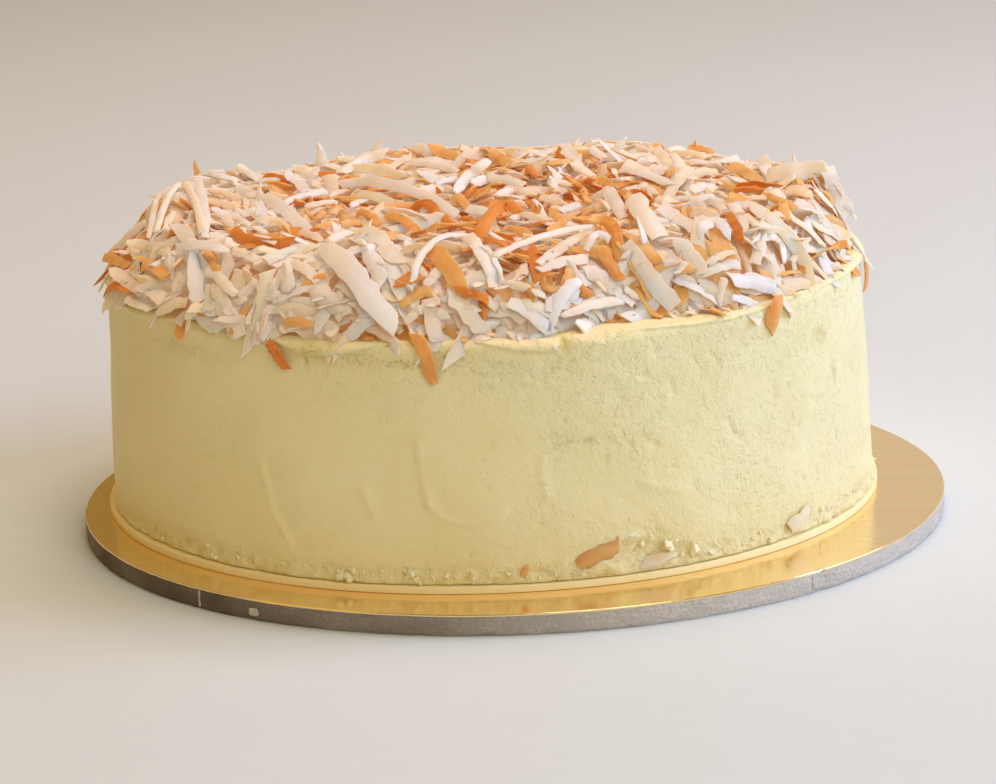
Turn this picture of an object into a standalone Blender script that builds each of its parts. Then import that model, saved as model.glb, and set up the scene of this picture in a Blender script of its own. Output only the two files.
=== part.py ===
"""Round butter-iced cake topped with shaved coconut, standing on its gold cake board.

Lengths are in metres and +Z is up. The origin is the middle of the board's underside, and the
side of the cake that faces the viewer looks along -Y. Angles round the cake are counted from
that front, positive towards +X.
"""

import math

import bmesh
import bpy
import numpy as np
from mathutils import Matrix, Vector

MM = 0.001
GAP = 0.3 * MM

# Board: a thick grey core with a gold sheet on it, and a thin card under the cake.
BOARD_RADIUS = 115.2 * MM
BOARD_CORE_HEIGHT = 4.7 * MM
BOARD_EDGE_ROUND = 0.35 * MM
BOARD_SEGMENTS = 96
FOIL_RADIUS = 115.1 * MM
FOIL_THICKNESS = 0.5 * MM
NICK_ANGLE = math.radians(41.2)
NICK_HALF_ANGLE = math.radians(2.6)
NICK_DEPTH = 0.9 * MM
CARD_CENTRE = (-5.6 * MM, 6.3 * MM)
CARD_RADIUS = 103.4 * MM
CARD_THICKNESS = 1.6 * MM

# Iced cake: a nearly upright wall that leans a little to the left as it rises.
CAKE_BASE_CENTRE = (-5.0 * MM, 5.7 * MM)
CAKE_TOP_CENTRE = (-6.3 * MM, 5.7 * MM)
CAKE_BASE_RADIUS = 102.1 * MM
CAKE_TOP_RADIUS = 100.3 * MM
CAKE_TOP = 69.4 * MM
CAKE_SEGMENTS = 90
CAKE_ROWS = (0.0, 0.02, 0.05, 0.12, 0.25, 0.42, 0.60, 0.76, 0.88, 0.94, 0.975)
CAKE_RIM_ROUND = 1.7 * MM
CAKE_RIM_STEPS = 2
CAKE_TOP_RINGS = (0.9,)
WALL_SWELL = 0.45 * MM
BASE_CRUMBLE = 0.7 * MM
BASE_CRUMBLE_SHARE = 0.06

# Folds of icing that hang from the top edge: angle of the middle, half width, drop, thickness.
LIP_FOLDS = (
    (-22.5, 10.5, 4.2, 1.3),
    (5.0, 8.0, 3.4, 1.0),
    (38.0, 13.0, 1.8, 0.8),
    (-63.0, 12.0, 2.4, 0.9),
    (92.0, 15.0, 3.0, 1.0),
    (143.0, 13.0, 3.8, 1.1),
    (-147.0, 14.0, 3.2, 1.0),
    (-102.0, 12.0, 2.8, 0.9),
)

# Loose flakes stuck in the icing: angle, height above the board, length, width, slope on the wall.
SIDE_FLAKES = (
    (-30.8, 64.3, 9.0, 2.6, -52.0),
    (-8.2, 65.8, 13.5, 3.4, -72.0),
    (46.5, 67.2, 10.5, 4.6, 68.0),
    (14.4, 13.6, 11.5, 5.2, 24.0),
    (23.2, 9.9, 10.0, 3.8, 12.0),
    (49.4, 11.6, 8.0, 4.4, 24.0),
    (88.0, 61.5, 11.0, 4.2, -62.0),
    (121.0, 21.0, 10.0, 4.0, 30.0),
    (154.0, 65.0, 12.0, 3.6, 74.0),
    (-171.0, 12.5, 11.0, 4.8, -16.0),
    (-136.0, 63.0, 11.5, 3.8, -48.0),
    (-98.0, 14.5, 9.5, 4.4, 22.0),
)
SIDE_FLAKE_THICKNESS = 1.5 * MM
SIDE_FLAKE_PROUD = 0.35 * MM

# Coconut: a low uneven mound with flat flakes fused on.
HEAP_EDGE = 98.0 * MM
HEAP_HEIGHT = 11.6 * MM
HEAP_SEGMENTS = 40
HEAP_RINGS = (0.3, 0.58, 0.80, 0.91, 0.975)
HEAP_SLOPE_LEFT = 17.0 * MM
HEAP_SLOPE_RIGHT = 9.5 * MM
HEAP_FOOT = 2.8 * MM
FLAKE_THICKNESS = 1.15 * MM
FLAKE_STEPS = 3
TOP_FLAKES = 82
RIM_FLAKES = 40
HEAP_SEED = 20

# Flakes that stand out of the heap: x, y, foot height over the icing, heading, pitch, length, width.
TALL_FLAKES = (
    (-83.0, 10.0, 8.5, 24.0, 74.0, 15.0, 6.5),
    (-70.0, 22.0, 9.0, -35.0, 52.0, 13.0, 6.0),
    (-50.5, 66.0, 8.0, 12.0, 76.0, 15.0, 6.5),
    (-36.0, 74.0, 8.0, 8.0, 60.0, 17.0, 7.0),
    (-17.0, 80.0, 6.0, 160.0, 38.0, 16.0, 8.0),
    (27.0, 78.0, 6.5, 70.0, 62.0, 16.0, 8.0),
    (51.0, 70.0, 6.0, 12.0, 40.0, 18.0, 7.0),
    (70.0, 52.0, 7.5, 40.0, 58.0, 14.0, 7.5),
    (84.0, 14.0, 9.0, 78.0, 64.0, 15.0, 8.0),
    (80.0, -12.0, 10.0, -30.0, 48.0, 16.0, 7.0),
    (-66.0, -6.0, 9.0, 150.0, 34.0, 22.0, 6.0),
)

ICING_COLOUR = (0.80, 0.71, 0.36)
COCONUT_COLOUR = (0.83, 0.72, 0.60)
FOIL_COLOUR = (0.86, 0.58, 0.20)
CARD_COLOUR = (0.82, 0.66, 0.46)
BOARD_COLOUR = (0.36, 0.31, 0.30)


def clear_scene():
    """Removes every object that the file starts with."""
    for thing in list(bpy.data.objects):
        bpy.data.objects.remove(thing, do_unlink=True)


def make_material(name, colour, roughness, metallic=0.0):
    """A plain Principled material."""
    material = bpy.data.materials.new(name)
    material.use_nodes = True
    shader = material.node_tree.nodes["Principled BSDF"]
    shader.inputs["Base Color"].default_value = (*colour, 1.0)
    shader.inputs["Roughness"].default_value = roughness
    shader.inputs["Metallic"].default_value = metallic
    return material


def add_object(name, mesh, material=None):
    """Puts a mesh in the scene as one named object."""
    thing = bpy.data.objects.new(name, mesh)
    bpy.context.scene.collection.objects.link(thing)
    if material is not None:
        mesh.materials.append(material)
    return thing


def smooth(mesh, sharp_degrees):
    """Shades a mesh smooth, with its sharper edges kept."""
    mesh.shade_smooth()
    mesh.set_sharp_from_angle(angle=math.radians(sharp_degrees))


def round_place(centre, radius, angle, height):
    """A point at an angle from the front round an upright axis."""
    x = centre[0] + radius * math.sin(angle)
    y = centre[1] - radius * math.cos(angle)
    return Vector((x, y, height))


def wrap(angle):
    """An angle in radians brought into the half turns either side of the front."""
    return (angle + math.pi) % (2 * math.pi) - math.pi


def stack_rings(name, rings):
    """A closed mesh from rings of points, each ring joined to the next and both ends capped."""
    shape = bmesh.new()
    made = [[shape.verts.new(point) for point in ring] for ring in rings]
    for lower, upper in zip(made, made[1:]):
        for i in range(len(lower)):
            j = (i + 1) % len(lower)
            shape.faces.new((lower[i], lower[j], upper[j], upper[i]))
    shape.faces.new(list(reversed(made[0])))
    shape.faces.new(made[-1])
    bmesh.ops.triangulate(shape, faces=shape.faces[:])
    mesh = bpy.data.meshes.new(name)
    shape.to_mesh(mesh)
    shape.free()
    return mesh


def nick(angle):
    """How far the board's rim is dented in at an angle."""
    distance = abs(wrap(angle - NICK_ANGLE)) / NICK_HALF_ANGLE
    return NICK_DEPTH * max(0.0, 1.0 - distance)


def board_ring(radius, height):
    """One ring of the board, with the dent in its rim."""
    turns = [2 * math.pi * i / BOARD_SEGMENTS for i in range(BOARD_SEGMENTS)]
    return [round_place((0.0, 0.0), radius - nick(a), a, height) for a in turns]


def make_board():
    """The grey core of the board and the gold sheet on it."""
    top = BOARD_CORE_HEIGHT
    core_rings = [
        board_ring(BOARD_RADIUS - BOARD_EDGE_ROUND, 0.0),
        board_ring(BOARD_RADIUS, BOARD_EDGE_ROUND),
        board_ring(BOARD_RADIUS, top - BOARD_EDGE_ROUND),
        board_ring(BOARD_RADIUS - BOARD_EDGE_ROUND, top),
    ]
    core = stack_rings("board_core", core_rings)
    smooth(core, 30)
    add_object("board_core", core, make_material("board_grey", BOARD_COLOUR, 0.9))

    foil_base = top + GAP
    foil_rings = [
        board_ring(FOIL_RADIUS, foil_base),
        board_ring(FOIL_RADIUS, foil_base + FOIL_THICKNESS),
    ]
    foil = stack_rings("gold_foil", foil_rings)
    smooth(foil, 30)
    add_object("gold_foil", foil, make_material("gold_sheet", FOIL_COLOUR, 0.28, 0.9))
    return foil_base + FOIL_THICKNESS


def make_card(base):
    """The thin card that the cake was iced on."""
    turns = [2 * math.pi * i / BOARD_SEGMENTS for i in range(BOARD_SEGMENTS)]
    rings = []
    for height in (base, base + CARD_THICKNESS):
        rings.append([round_place(CARD_CENTRE, CARD_RADIUS, a, height) for a in turns])
    card = stack_rings("cake_card", rings)
    smooth(card, 30)
    add_object("cake_card", card, make_material("pale_card", CARD_COLOUR, 0.6))
    return base + CARD_THICKNESS


def wall_place(angle, height, base, outward=0.0):
    """A point on the leaning wall of the cake, pushed outward from it."""
    share = (height - base) / (CAKE_TOP - base)
    centre = [a + (b - a) * share for a, b in zip(CAKE_BASE_CENTRE, CAKE_TOP_CENTRE)]
    radius = CAKE_BASE_RADIUS + (CAKE_TOP_RADIUS - CAKE_BASE_RADIUS) * share
    return round_place(centre, radius + outward, angle, height)


def lip(angle, height):
    """How far the hanging folds of icing stand out of the wall."""
    out = 0.0
    for middle, half_width, drop, thickness in LIP_FOLDS:
        away = abs(wrap(angle - math.radians(middle))) / math.radians(half_width)
        if away < 1.0:
            shape = math.sqrt(1.0 - away * away)
            low = CAKE_TOP - CAKE_RIM_ROUND - drop * MM * shape
            if height > low:
                out = max(out, thickness * MM * shape)
    return out


def wall_relief(angle, share):
    """The gentle swell that the palette knife left in the wall."""
    swell = math.sin(3 * angle + 0.7) * math.sin(2.1 * math.pi * share + 0.4)
    swell += 0.7 * math.sin(7 * angle - 1.1 + 3.0 * share)
    swell += 0.5 * math.sin(13 * angle + 5.0 * share)
    return WALL_SWELL * swell


def cake_body(base):
    """The mesh of the iced cake without its stuck flakes."""
    draw = np.random.default_rng(HEAP_SEED + 1)
    turns = [2 * math.pi * i / CAKE_SEGMENTS for i in range(CAKE_SEGMENTS)]
    rings = []
    for share in CAKE_ROWS:
        height = base + (CAKE_TOP - CAKE_RIM_ROUND - base) * share
        ring = []
        for angle in turns:
            out = wall_relief(angle, share) + lip(angle, height)
            if share < BASE_CRUMBLE_SHARE:
                out += BASE_CRUMBLE * draw.uniform(-1.0, 0.6)
            ring.append(wall_place(angle, height, base, out))
        rings.append(ring)
    for step in range(CAKE_RIM_STEPS + 1):
        turn = 0.5 * math.pi * step / CAKE_RIM_STEPS
        height = CAKE_TOP - CAKE_RIM_ROUND * (1.0 - math.sin(turn))
        inward = CAKE_RIM_ROUND * (1.0 - math.cos(turn))
        keep = math.cos(turn)
        ring = []
        for angle in turns:
            out = (wall_relief(angle, 1.0) + lip(angle, height)) * keep - inward
            ring.append(wall_place(angle, height, base, out))
        rings.append(ring)
    for share in CAKE_TOP_RINGS:
        radius = CAKE_TOP_RADIUS * share
        rings.append([round_place(CAKE_TOP_CENTRE, radius, a, CAKE_TOP) for a in turns])
    return stack_rings("cake", rings)


def strip(length, width, thickness, bend, twist, steps, ragged=None):
    """A curved, twisted strip of coconut round the origin, as a bmesh.

    It runs along +X and is flat in XY. bend is the angle that it turns over its length, twist
    the angle that it rolls, and ragged draws the unevenness of its width.
    """
    shape = bmesh.new()
    sections = []
    radius = length / bend if abs(bend) > 1e-3 else None
    for i in range(steps + 1):
        share = i / steps
        along = (share - 0.5) * length
        if radius is None:
            centre, tilt = Vector((along, 0.0, 0.0)), 0.0
        else:
            tilt = along / radius
            centre = Vector((radius * math.sin(tilt), 0.0, radius * (math.cos(tilt) - 1.0)))
        taper = 0.55 + 0.45 * math.sin(math.pi * (0.12 + 0.76 * share))
        if ragged is not None:
            taper *= ragged.uniform(0.82, 1.12)
        frame = Matrix.Rotation(tilt, 3, "Y") @ Matrix.Rotation(twist * (share - 0.5), 3, "X")
        half_width, half_height = 0.5 * width * taper, 0.5 * thickness
        corners = ((-1, -1), (1, -1), (1, 1), (-1, 1))
        section = []
        for side, rise in corners:
            offset = frame @ Vector((0.0, side * half_width, rise * half_height))
            section.append(shape.verts.new(centre + offset))
        sections.append(section)
    for first, second in zip(sections, sections[1:]):
        for i in range(4):
            j = (i + 1) % 4
            shape.faces.new((first[j], first[i], second[i], second[j]))
    shape.faces.new(sections[0])
    shape.faces.new(list(reversed(sections[-1])))
    bmesh.ops.recalc_face_normals(shape, faces=shape.faces[:])
    bmesh.ops.triangulate(shape, faces=shape.faces[:])
    return shape


def strip_object(name, shape, place):
    """Sets a strip down at its place in the model."""
    shape.transform(place)
    mesh = bpy.data.meshes.new(name)
    shape.to_mesh(mesh)
    shape.free()
    return mesh


def turned(heading, pitch, roll, centre):
    """The place of a strip: rolled on its length, pitched up, headed round and moved."""
    spin = Matrix.Rotation(heading, 4, "Z") @ Matrix.Rotation(-pitch, 4, "Y")
    return Matrix.Translation(centre) @ spin @ Matrix.Rotation(roll, 4, "X")


def side_flake_place(angle, height, slope, base):
    """Lays a strip flat against the wall, its length sloping by an angle from level."""
    share = (height - base) / (CAKE_TOP - base)
    centre = wall_place(angle, height, base, SIDE_FLAKE_PROUD + wall_relief(angle, share))
    along = Vector((math.cos(angle), math.sin(angle), 0.0))
    outward = Vector((math.sin(angle), -math.cos(angle), 0.0))
    rise = Vector((0.0, 0.0, 1.0))
    length_way = along * math.cos(slope) + rise * math.sin(slope)
    width_way = outward.cross(length_way)
    axes = Matrix((length_way, width_way, outward)).transposed().to_4x4()
    return Matrix.Translation(centre) @ axes


def fuse(body, loose_meshes):
    """Joins loose meshes to a body by one Boolean union and keeps the one outer shell."""
    group = bpy.data.collections.new(body.name + "_pieces")
    bpy.context.scene.collection.children.link(group)
    for mesh in loose_meshes:
        group.objects.link(bpy.data.objects.new(mesh.name, mesh))
    join = body.modifiers.new("join", "BOOLEAN")
    join.operation = "UNION"
    join.operand_type = "COLLECTION"
    join.collection = group
    join.solver = "MANIFOLD"
    bpy.context.view_layer.update()
    joined = bpy.data.meshes.new_from_object(body.evaluated_get(bpy.context.evaluated_depsgraph_get()))
    body.modifiers.remove(join)
    for thing in list(group.objects):
        bpy.data.objects.remove(thing, do_unlink=True)
    bpy.data.collections.remove(group)
    keep_outer_shell(joined)
    body.data = joined


def keep_outer_shell(mesh):
    """Drops sealed hollows and loose scraps, so that one closed shell is left."""
    shape = bmesh.new()
    shape.from_mesh(mesh)
    shape.faces.ensure_lookup_table()
    unseen = set(shape.faces)
    shells = []
    while unseen:
        queue = [unseen.pop()]
        shell = list(queue)
        while queue:
            face = queue.pop()
            for edge in face.edges:
                for other in edge.link_faces:
                    if other in unseen:
                        unseen.remove(other)
                        shell.append(other)
                        queue.append(other)
        shells.append(shell)
    shells.sort(key=len)
    for shell in shells[:-1]:
        bmesh.ops.delete(shape, geom=shell, context="FACES")
    bmesh.ops.triangulate(shape, faces=shape.faces[:])
    shape.to_mesh(mesh)
    shape.free()


def make_cake(base):
    """The iced cake with the flakes that stick to its side."""
    body = add_object("cake", cake_body(base))
    pieces = []
    for index, (angle, height, length, width, slope) in enumerate(SIDE_FLAKES):
        shape = strip(length * MM, width * MM, SIDE_FLAKE_THICKNESS, math.radians(10), 0.2, 3)
        place = side_flake_place(math.radians(angle), height * MM, math.radians(slope), base)
        pieces.append(strip_object("side_flake_%d" % index, shape, place))
    fuse(body, pieces)
    body.data.materials.append(make_material("icing", ICING_COLOUR, 0.55))
    smooth(body.data, 40)


def heap_slope(angle):
    """Width of the heap's sloping edge: long at the left, short at the right."""
    share = 0.5 + 0.5 * math.sin(angle)
    return HEAP_SLOPE_LEFT + (HEAP_SLOPE_RIGHT - HEAP_SLOPE_LEFT) * share


def heap_edge(angle):
    """Radius at which the heap's core ends."""
    return HEAP_EDGE + 1.4 * MM * math.sin(5 * angle + 1.0) + 0.9 * MM * math.sin(11 * angle)


def heap_height(angle, radius):
    """Height of the heap's core over the icing."""
    x, y = radius * math.sin(angle), -radius * math.cos(angle)
    crown = HEAP_HEIGHT + 1.2 * MM * x / HEAP_EDGE - 1.6 * MM * max(0.0, y) / HEAP_EDGE
    crown += 1.1 * MM * math.sin(38.0 * x + 1.3) * math.cos(44.0 * y - 0.4)
    inside = min(1.0, max(0.0, (heap_edge(angle) - radius) / heap_slope(angle)))
    return HEAP_FOOT + (crown - HEAP_FOOT) * (1.0 - (1.0 - inside) ** 2.2)


def heap_core(base):
    """The low mound that carries the flakes."""
    turns = [2 * math.pi * i / HEAP_SEGMENTS for i in range(HEAP_SEGMENTS)]
    rings = [[round_place(CAKE_TOP_CENTRE, heap_edge(a) * 0.99, a, base) for a in turns]]
    rings.append([round_place(CAKE_TOP_CENTRE, heap_edge(a), a, base + HEAP_FOOT) for a in turns])
    for share in reversed(HEAP_RINGS):
        ring = []
        for angle in turns:
            radius = heap_edge(angle) * share
            height = base + heap_height(angle, radius)
            ring.append(round_place(CAKE_TOP_CENTRE, radius, angle, height))
        rings.append(ring)
    return stack_rings("coconut_topping", rings)


def lift_clear(mesh, base):
    """Raises a flake that would dip below the underside of the heap."""
    lowest = min(vertex.co.z for vertex in mesh.vertices)
    if lowest < base:
        mesh.transform(Matrix.Translation((0.0, 0.0, base - lowest)))


def flake_mesh(index, draw, size, place, base):
    """One flake of the heap, drawn uneven and set down."""
    length, width = size
    bend = draw.uniform(-0.9, 1.5)
    twist = draw.uniform(-0.9, 0.9)
    shape = strip(length, width, FLAKE_THICKNESS, bend, twist, FLAKE_STEPS, draw)
    mesh = strip_object("flake_%d" % index, shape, place)
    lift_clear(mesh, base)
    return mesh


def scattered_flakes(base, draw):
    """Flakes spread evenly over the top of the heap, then a row round its edge."""
    golden = math.pi * (3.0 - math.sqrt(5.0))
    flakes = []
    for i in range(TOP_FLAKES):
        angle = wrap(i * golden + draw.uniform(-0.1, 0.1))
        radius = (HEAP_EDGE - 6 * MM) * math.sqrt((i + 0.5) / TOP_FLAKES)
        height = base + heap_height(angle, radius) + draw.uniform(0.2, 1.8) * MM
        centre = round_place(CAKE_TOP_CENTRE, radius, angle, height)
        heading = draw.uniform(-math.pi, math.pi)
        pitch = math.radians(draw.uniform(-32, 32))
        place = turned(heading, pitch, math.radians(draw.uniform(-40, 40)), centre)
        size = (draw.uniform(17, 29) * MM, draw.uniform(4.5, 7.5) * MM)
        flakes.append(flake_mesh(i, draw, size, place, base))
    for i in range(RIM_FLAKES):
        angle = wrap(2 * math.pi * i / RIM_FLAKES + draw.uniform(-0.05, 0.05))
        radius = heap_edge(angle) - draw.uniform(1.5, 5.5) * MM
        height = base + heap_height(angle, radius) + draw.uniform(0.6, 1.6) * MM
        centre = round_place(CAKE_TOP_CENTRE, radius, angle, height)
        outward = angle - 0.5 * math.pi
        heading = outward + math.radians(draw.uniform(-75, 75))
        steepness = -38.0 * math.cos(heading - outward)
        place = turned(heading, math.radians(steepness), draw.uniform(-0.4, 0.4), centre)
        size = (draw.uniform(9, 16) * MM, draw.uniform(4.0, 6.5) * MM)
        flakes.append(flake_mesh(TOP_FLAKES + i, draw, size, place, base))
    return flakes


def tall_flakes(base, draw):
    """The flakes that stick up and make the broken skyline of the heap."""
    flakes = []
    for i, (x, y, foot, heading, pitch, length, width) in enumerate(TALL_FLAKES):
        rise = math.radians(pitch)
        half = 0.5 * length * MM
        centre = Vector((x * MM, y * MM, base + foot * MM + half * math.sin(rise) * 0.8))
        place = turned(math.radians(heading), rise, 0.3, centre)
        shape = strip(length * MM, width * MM, FLAKE_THICKNESS, 0.5, 0.4, FLAKE_STEPS, draw)
        flakes.append(strip_object("tall_flake_%d" % i, shape, place))
    return flakes


def make_coconut(base):
    """The heap of shaved coconut as one solid."""
    draw = np.random.default_rng(HEAP_SEED)
    body = add_object("coconut_topping", heap_core(base))
    fuse(body, scattered_flakes(base, draw) + tall_flakes(base, draw))
    body.data.materials.append(make_material("coconut", COCONUT_COLOUR, 0.6))
    smooth(body.data, 35)


def main():
    """Builds the board, the card, the cake and the coconut from the floor up."""
    clear_scene()
    foil_top = make_board()
    card_top = make_card(foil_top + GAP)
    make_cake(card_top + GAP)
    make_coconut(CAKE_TOP + GAP)


main()
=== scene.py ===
"""Looks of a round butter-iced cake with a heap of shaved coconut, on its gold cake board.

Lengths are in metres and +Z is up. The photographed side faces -Y. Angles round the cake are in
degrees from that front, positive towards +X. Pixels are those of the 996 x 784 photograph.
"""

import logging
import math
from dataclasses import dataclass, field
from enum import Enum

import bmesh
import bpy
import numpy as np
from mathutils import Matrix, Vector


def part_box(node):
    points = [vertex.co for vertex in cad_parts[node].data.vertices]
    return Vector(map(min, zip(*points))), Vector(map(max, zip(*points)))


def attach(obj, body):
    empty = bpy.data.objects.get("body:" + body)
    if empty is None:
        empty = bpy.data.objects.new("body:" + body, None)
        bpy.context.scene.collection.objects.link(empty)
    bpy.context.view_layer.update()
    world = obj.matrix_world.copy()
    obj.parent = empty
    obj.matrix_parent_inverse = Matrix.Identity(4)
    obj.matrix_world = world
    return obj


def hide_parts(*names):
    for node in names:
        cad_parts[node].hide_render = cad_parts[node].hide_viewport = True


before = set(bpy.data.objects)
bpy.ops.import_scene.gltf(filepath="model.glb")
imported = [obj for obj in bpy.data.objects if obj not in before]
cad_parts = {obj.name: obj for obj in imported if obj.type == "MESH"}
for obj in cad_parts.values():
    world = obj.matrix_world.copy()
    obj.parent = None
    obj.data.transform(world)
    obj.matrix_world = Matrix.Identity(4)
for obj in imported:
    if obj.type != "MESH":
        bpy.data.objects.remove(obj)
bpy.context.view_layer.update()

LOG = logging.getLogger("cake")
MM = 0.001
UP = np.array([0.0, 0.0, 1.0])
Colour = tuple[float, float, float]
Stops = tuple[tuple[float, float], ...]
ROOT = "root"


def lattice_noise(points: np.ndarray, size: float, seed: int) -> np.ndarray:
    """Smooth random values between -1 and 1 that change over about one size.

    Args:
        points: Places as rows of x, y, z.
        size: Width of one cell of the pattern, in metres.
        seed: Number that picks the pattern.

    Returns:
        One value for each place.
    """
    scaled = points / size
    cell = np.floor(scaled).astype(np.int64)
    part = scaled - cell
    part = part * part * (3.0 - 2.0 * part)

    def corner(step: tuple[int, int, int]) -> np.ndarray:
        """Random value at one corner of each cell."""
        mixed = (cell[:, 0] + step[0]) * 374761393 + (cell[:, 1] + step[1]) * 668265263
        mixed = (mixed + (cell[:, 2] + step[2]) * 2246822519 + seed * 3266489917) & 0xFFFFFFFF
        mixed = ((mixed ^ (mixed >> 15)) * 2246822519) & 0xFFFFFFFF
        mixed = ((mixed ^ (mixed >> 13)) * 3266489917) & 0xFFFFFFFF
        return (mixed ^ (mixed >> 16)) / 2147483648.0 - 1.0

    total = np.zeros(len(points))
    for dx in (0, 1):
        for dy in (0, 1):
            for dz in (0, 1):
                weight = np.ones(len(points))
                for axis, step in enumerate((dx, dy, dz)):
                    weight = weight * (part[:, axis] if step else 1.0 - part[:, axis])
                total += weight * corner((dx, dy, dz))
    return total


def cloud_noise(points: np.ndarray, size: float, seed: int, layers: int = 3) -> np.ndarray:
    """Layers of lattice noise, each half as coarse and half as strong as the last."""
    total = np.zeros(len(points))
    strength = 1.0
    for layer in range(layers):
        total += strength * lattice_noise(points, size / 2**layer, seed + 17 * layer)
        strength *= 0.5
    return total


def smooth_step(low: float, high: float, value: np.ndarray) -> np.ndarray:
    """Rises smoothly from 0 at low to 1 at high."""
    share = np.clip((value - low) / (high - low), 0.0, 1.0)
    return share * share * (3.0 - 2.0 * share)


def turn_away(angles: np.ndarray, middle: float) -> np.ndarray:
    """Signed distance in degrees from one angle, by the shorter way round."""
    return (angles - middle + 180.0) % 360.0 - 180.0


def follow(stops: tuple[tuple[float, ...], ...], places: np.ndarray, column: int = 1) -> np.ndarray:
    """Reads one column of a table of stops at some places along its first column."""
    marks = np.array(stops, dtype=float)
    return np.interp(places, marks[:, 0], marks[:, column])


def ring_faces(rings: int, around: int) -> np.ndarray:
    """Four-sided faces between closed rings of vertices that follow one another."""
    faces = []
    for ring in range(rings - 1):
        outer, inner = ring * around, (ring + 1) * around
        for i in range(around):
            j = (i + 1) % around
            faces.append((outer + i, outer + j, inner + j, inner + i))
    return np.array(faces)


def join_parts(parts: list[tuple[np.ndarray, np.ndarray]]) -> tuple[np.ndarray, np.ndarray]:
    """Vertices and faces of several loose parts, numbered as one."""
    vertices, faces, start = [], [], 0
    for points, loops in parts:
        vertices.append(points)
        faces.append(loops + start)
        start += len(points)
    return np.vstack(vertices), np.vstack(faces)


def read_places(mesh: bpy.types.Mesh) -> np.ndarray:
    """Places of a mesh's vertices, as rows of x, y, z."""
    places = np.empty(len(mesh.vertices) * 3, dtype=np.float32)
    mesh.vertices.foreach_get("co", places)
    return places.reshape(-1, 3).astype(float)


def write_places(mesh: bpy.types.Mesh, places: np.ndarray) -> None:
    """Moves a mesh's vertices."""
    mesh.vertices.foreach_set("co", places.astype(np.float32).ravel())
    mesh.update()


def paint(mesh: bpy.types.Mesh, label: str, numbers: np.ndarray) -> None:
    """Gives each vertex a named number that the finish reads."""
    layer = mesh.attributes.new(label, "FLOAT", "POINT")
    layer.data.foreach_set("value", numbers.astype(np.float32).ravel())


def angles_round(x: np.ndarray, y: np.ndarray) -> np.ndarray:
    """Angles in degrees round an axis, from the front and positive towards +X."""
    return np.degrees(np.arctan2(x, -y))


def mesh_object(
    name: str,
    vertices: np.ndarray,
    faces: np.ndarray,
    values: dict[str, np.ndarray] | None = None,
) -> bpy.types.Object:
    """Makes one object from arrays of places and four-sided faces.

    Args:
        name: Name of the object.
        vertices: Rows of x, y, z.
        faces: Rows of four vertex numbers.
        values: Named numbers, one for each vertex, that the finish reads.

    Returns:
        The object, linked to the scene.
    """
    mesh = bpy.data.meshes.new(name)
    mesh.vertices.add(len(vertices))
    mesh.vertices.foreach_set("co", vertices.astype(np.float32).ravel())
    mesh.loops.add(faces.size)
    mesh.loops.foreach_set("vertex_index", faces.astype(np.int32).ravel())
    mesh.polygons.add(len(faces))
    mesh.polygons.foreach_set("loop_start", np.arange(0, faces.size, 4, dtype=np.int32))
    for label, numbers in (values or {}).items():
        paint(mesh, label, numbers)
    mesh.update(calc_edges=True)
    mesh.validate()
    piece = bpy.data.objects.new(name, mesh)
    bpy.context.scene.collection.objects.link(piece)
    return piece


def select_none() -> None:
    """Leaves nothing selected."""
    bpy.ops.object.select_all(action="DESELECT")


def select_only(piece: bpy.types.Object) -> None:
    """Makes one object the only selected and active one."""
    select_none()
    piece.select_set(True)
    bpy.context.view_layer.objects.active = piece


def shade(piece: bpy.types.Object, degrees: float) -> None:
    """Shades a piece smooth and keeps edges sharper than an angle."""
    select_only(piece)
    bpy.ops.object.shade_smooth_by_angle(angle=math.radians(degrees))


def cylinder(
    name: str, columns: int, radius: float, low: float, high: float,
    centre: tuple[float, float] = (0.0, 0.0),
) -> bpy.types.Object:
    """A plain closed cylinder between two heights."""
    select_none()
    bpy.ops.mesh.primitive_cylinder_add(
        vertices=columns, radius=radius, depth=high - low,
        end_fill_type="NGON", location=(*centre, 0.5 * (low + high)))
    piece = bpy.context.active_object
    piece.name = name
    piece.data.name = name
    bpy.ops.object.transform_apply(location=True, rotation=True, scale=True)
    return piece


def seat(piece: bpy.types.Object, finish: bpy.types.Material, slot: str, *nodes: str) -> None:
    """Dresses a piece, puts it on the body and hides the CAD nodes that it replaces.

    Args:
        piece: The finished piece.
        finish: Its material.
        slot: Not used.
        nodes: CAD nodes that it replaces, if any.
    """
    piece.data.materials.clear()
    piece.data.materials.append(finish)
    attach(piece, ROOT)
    if nodes:
        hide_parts(*nodes)
    LOG.info("%s: %d faces", piece.name, len(piece.data.polygons))


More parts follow.
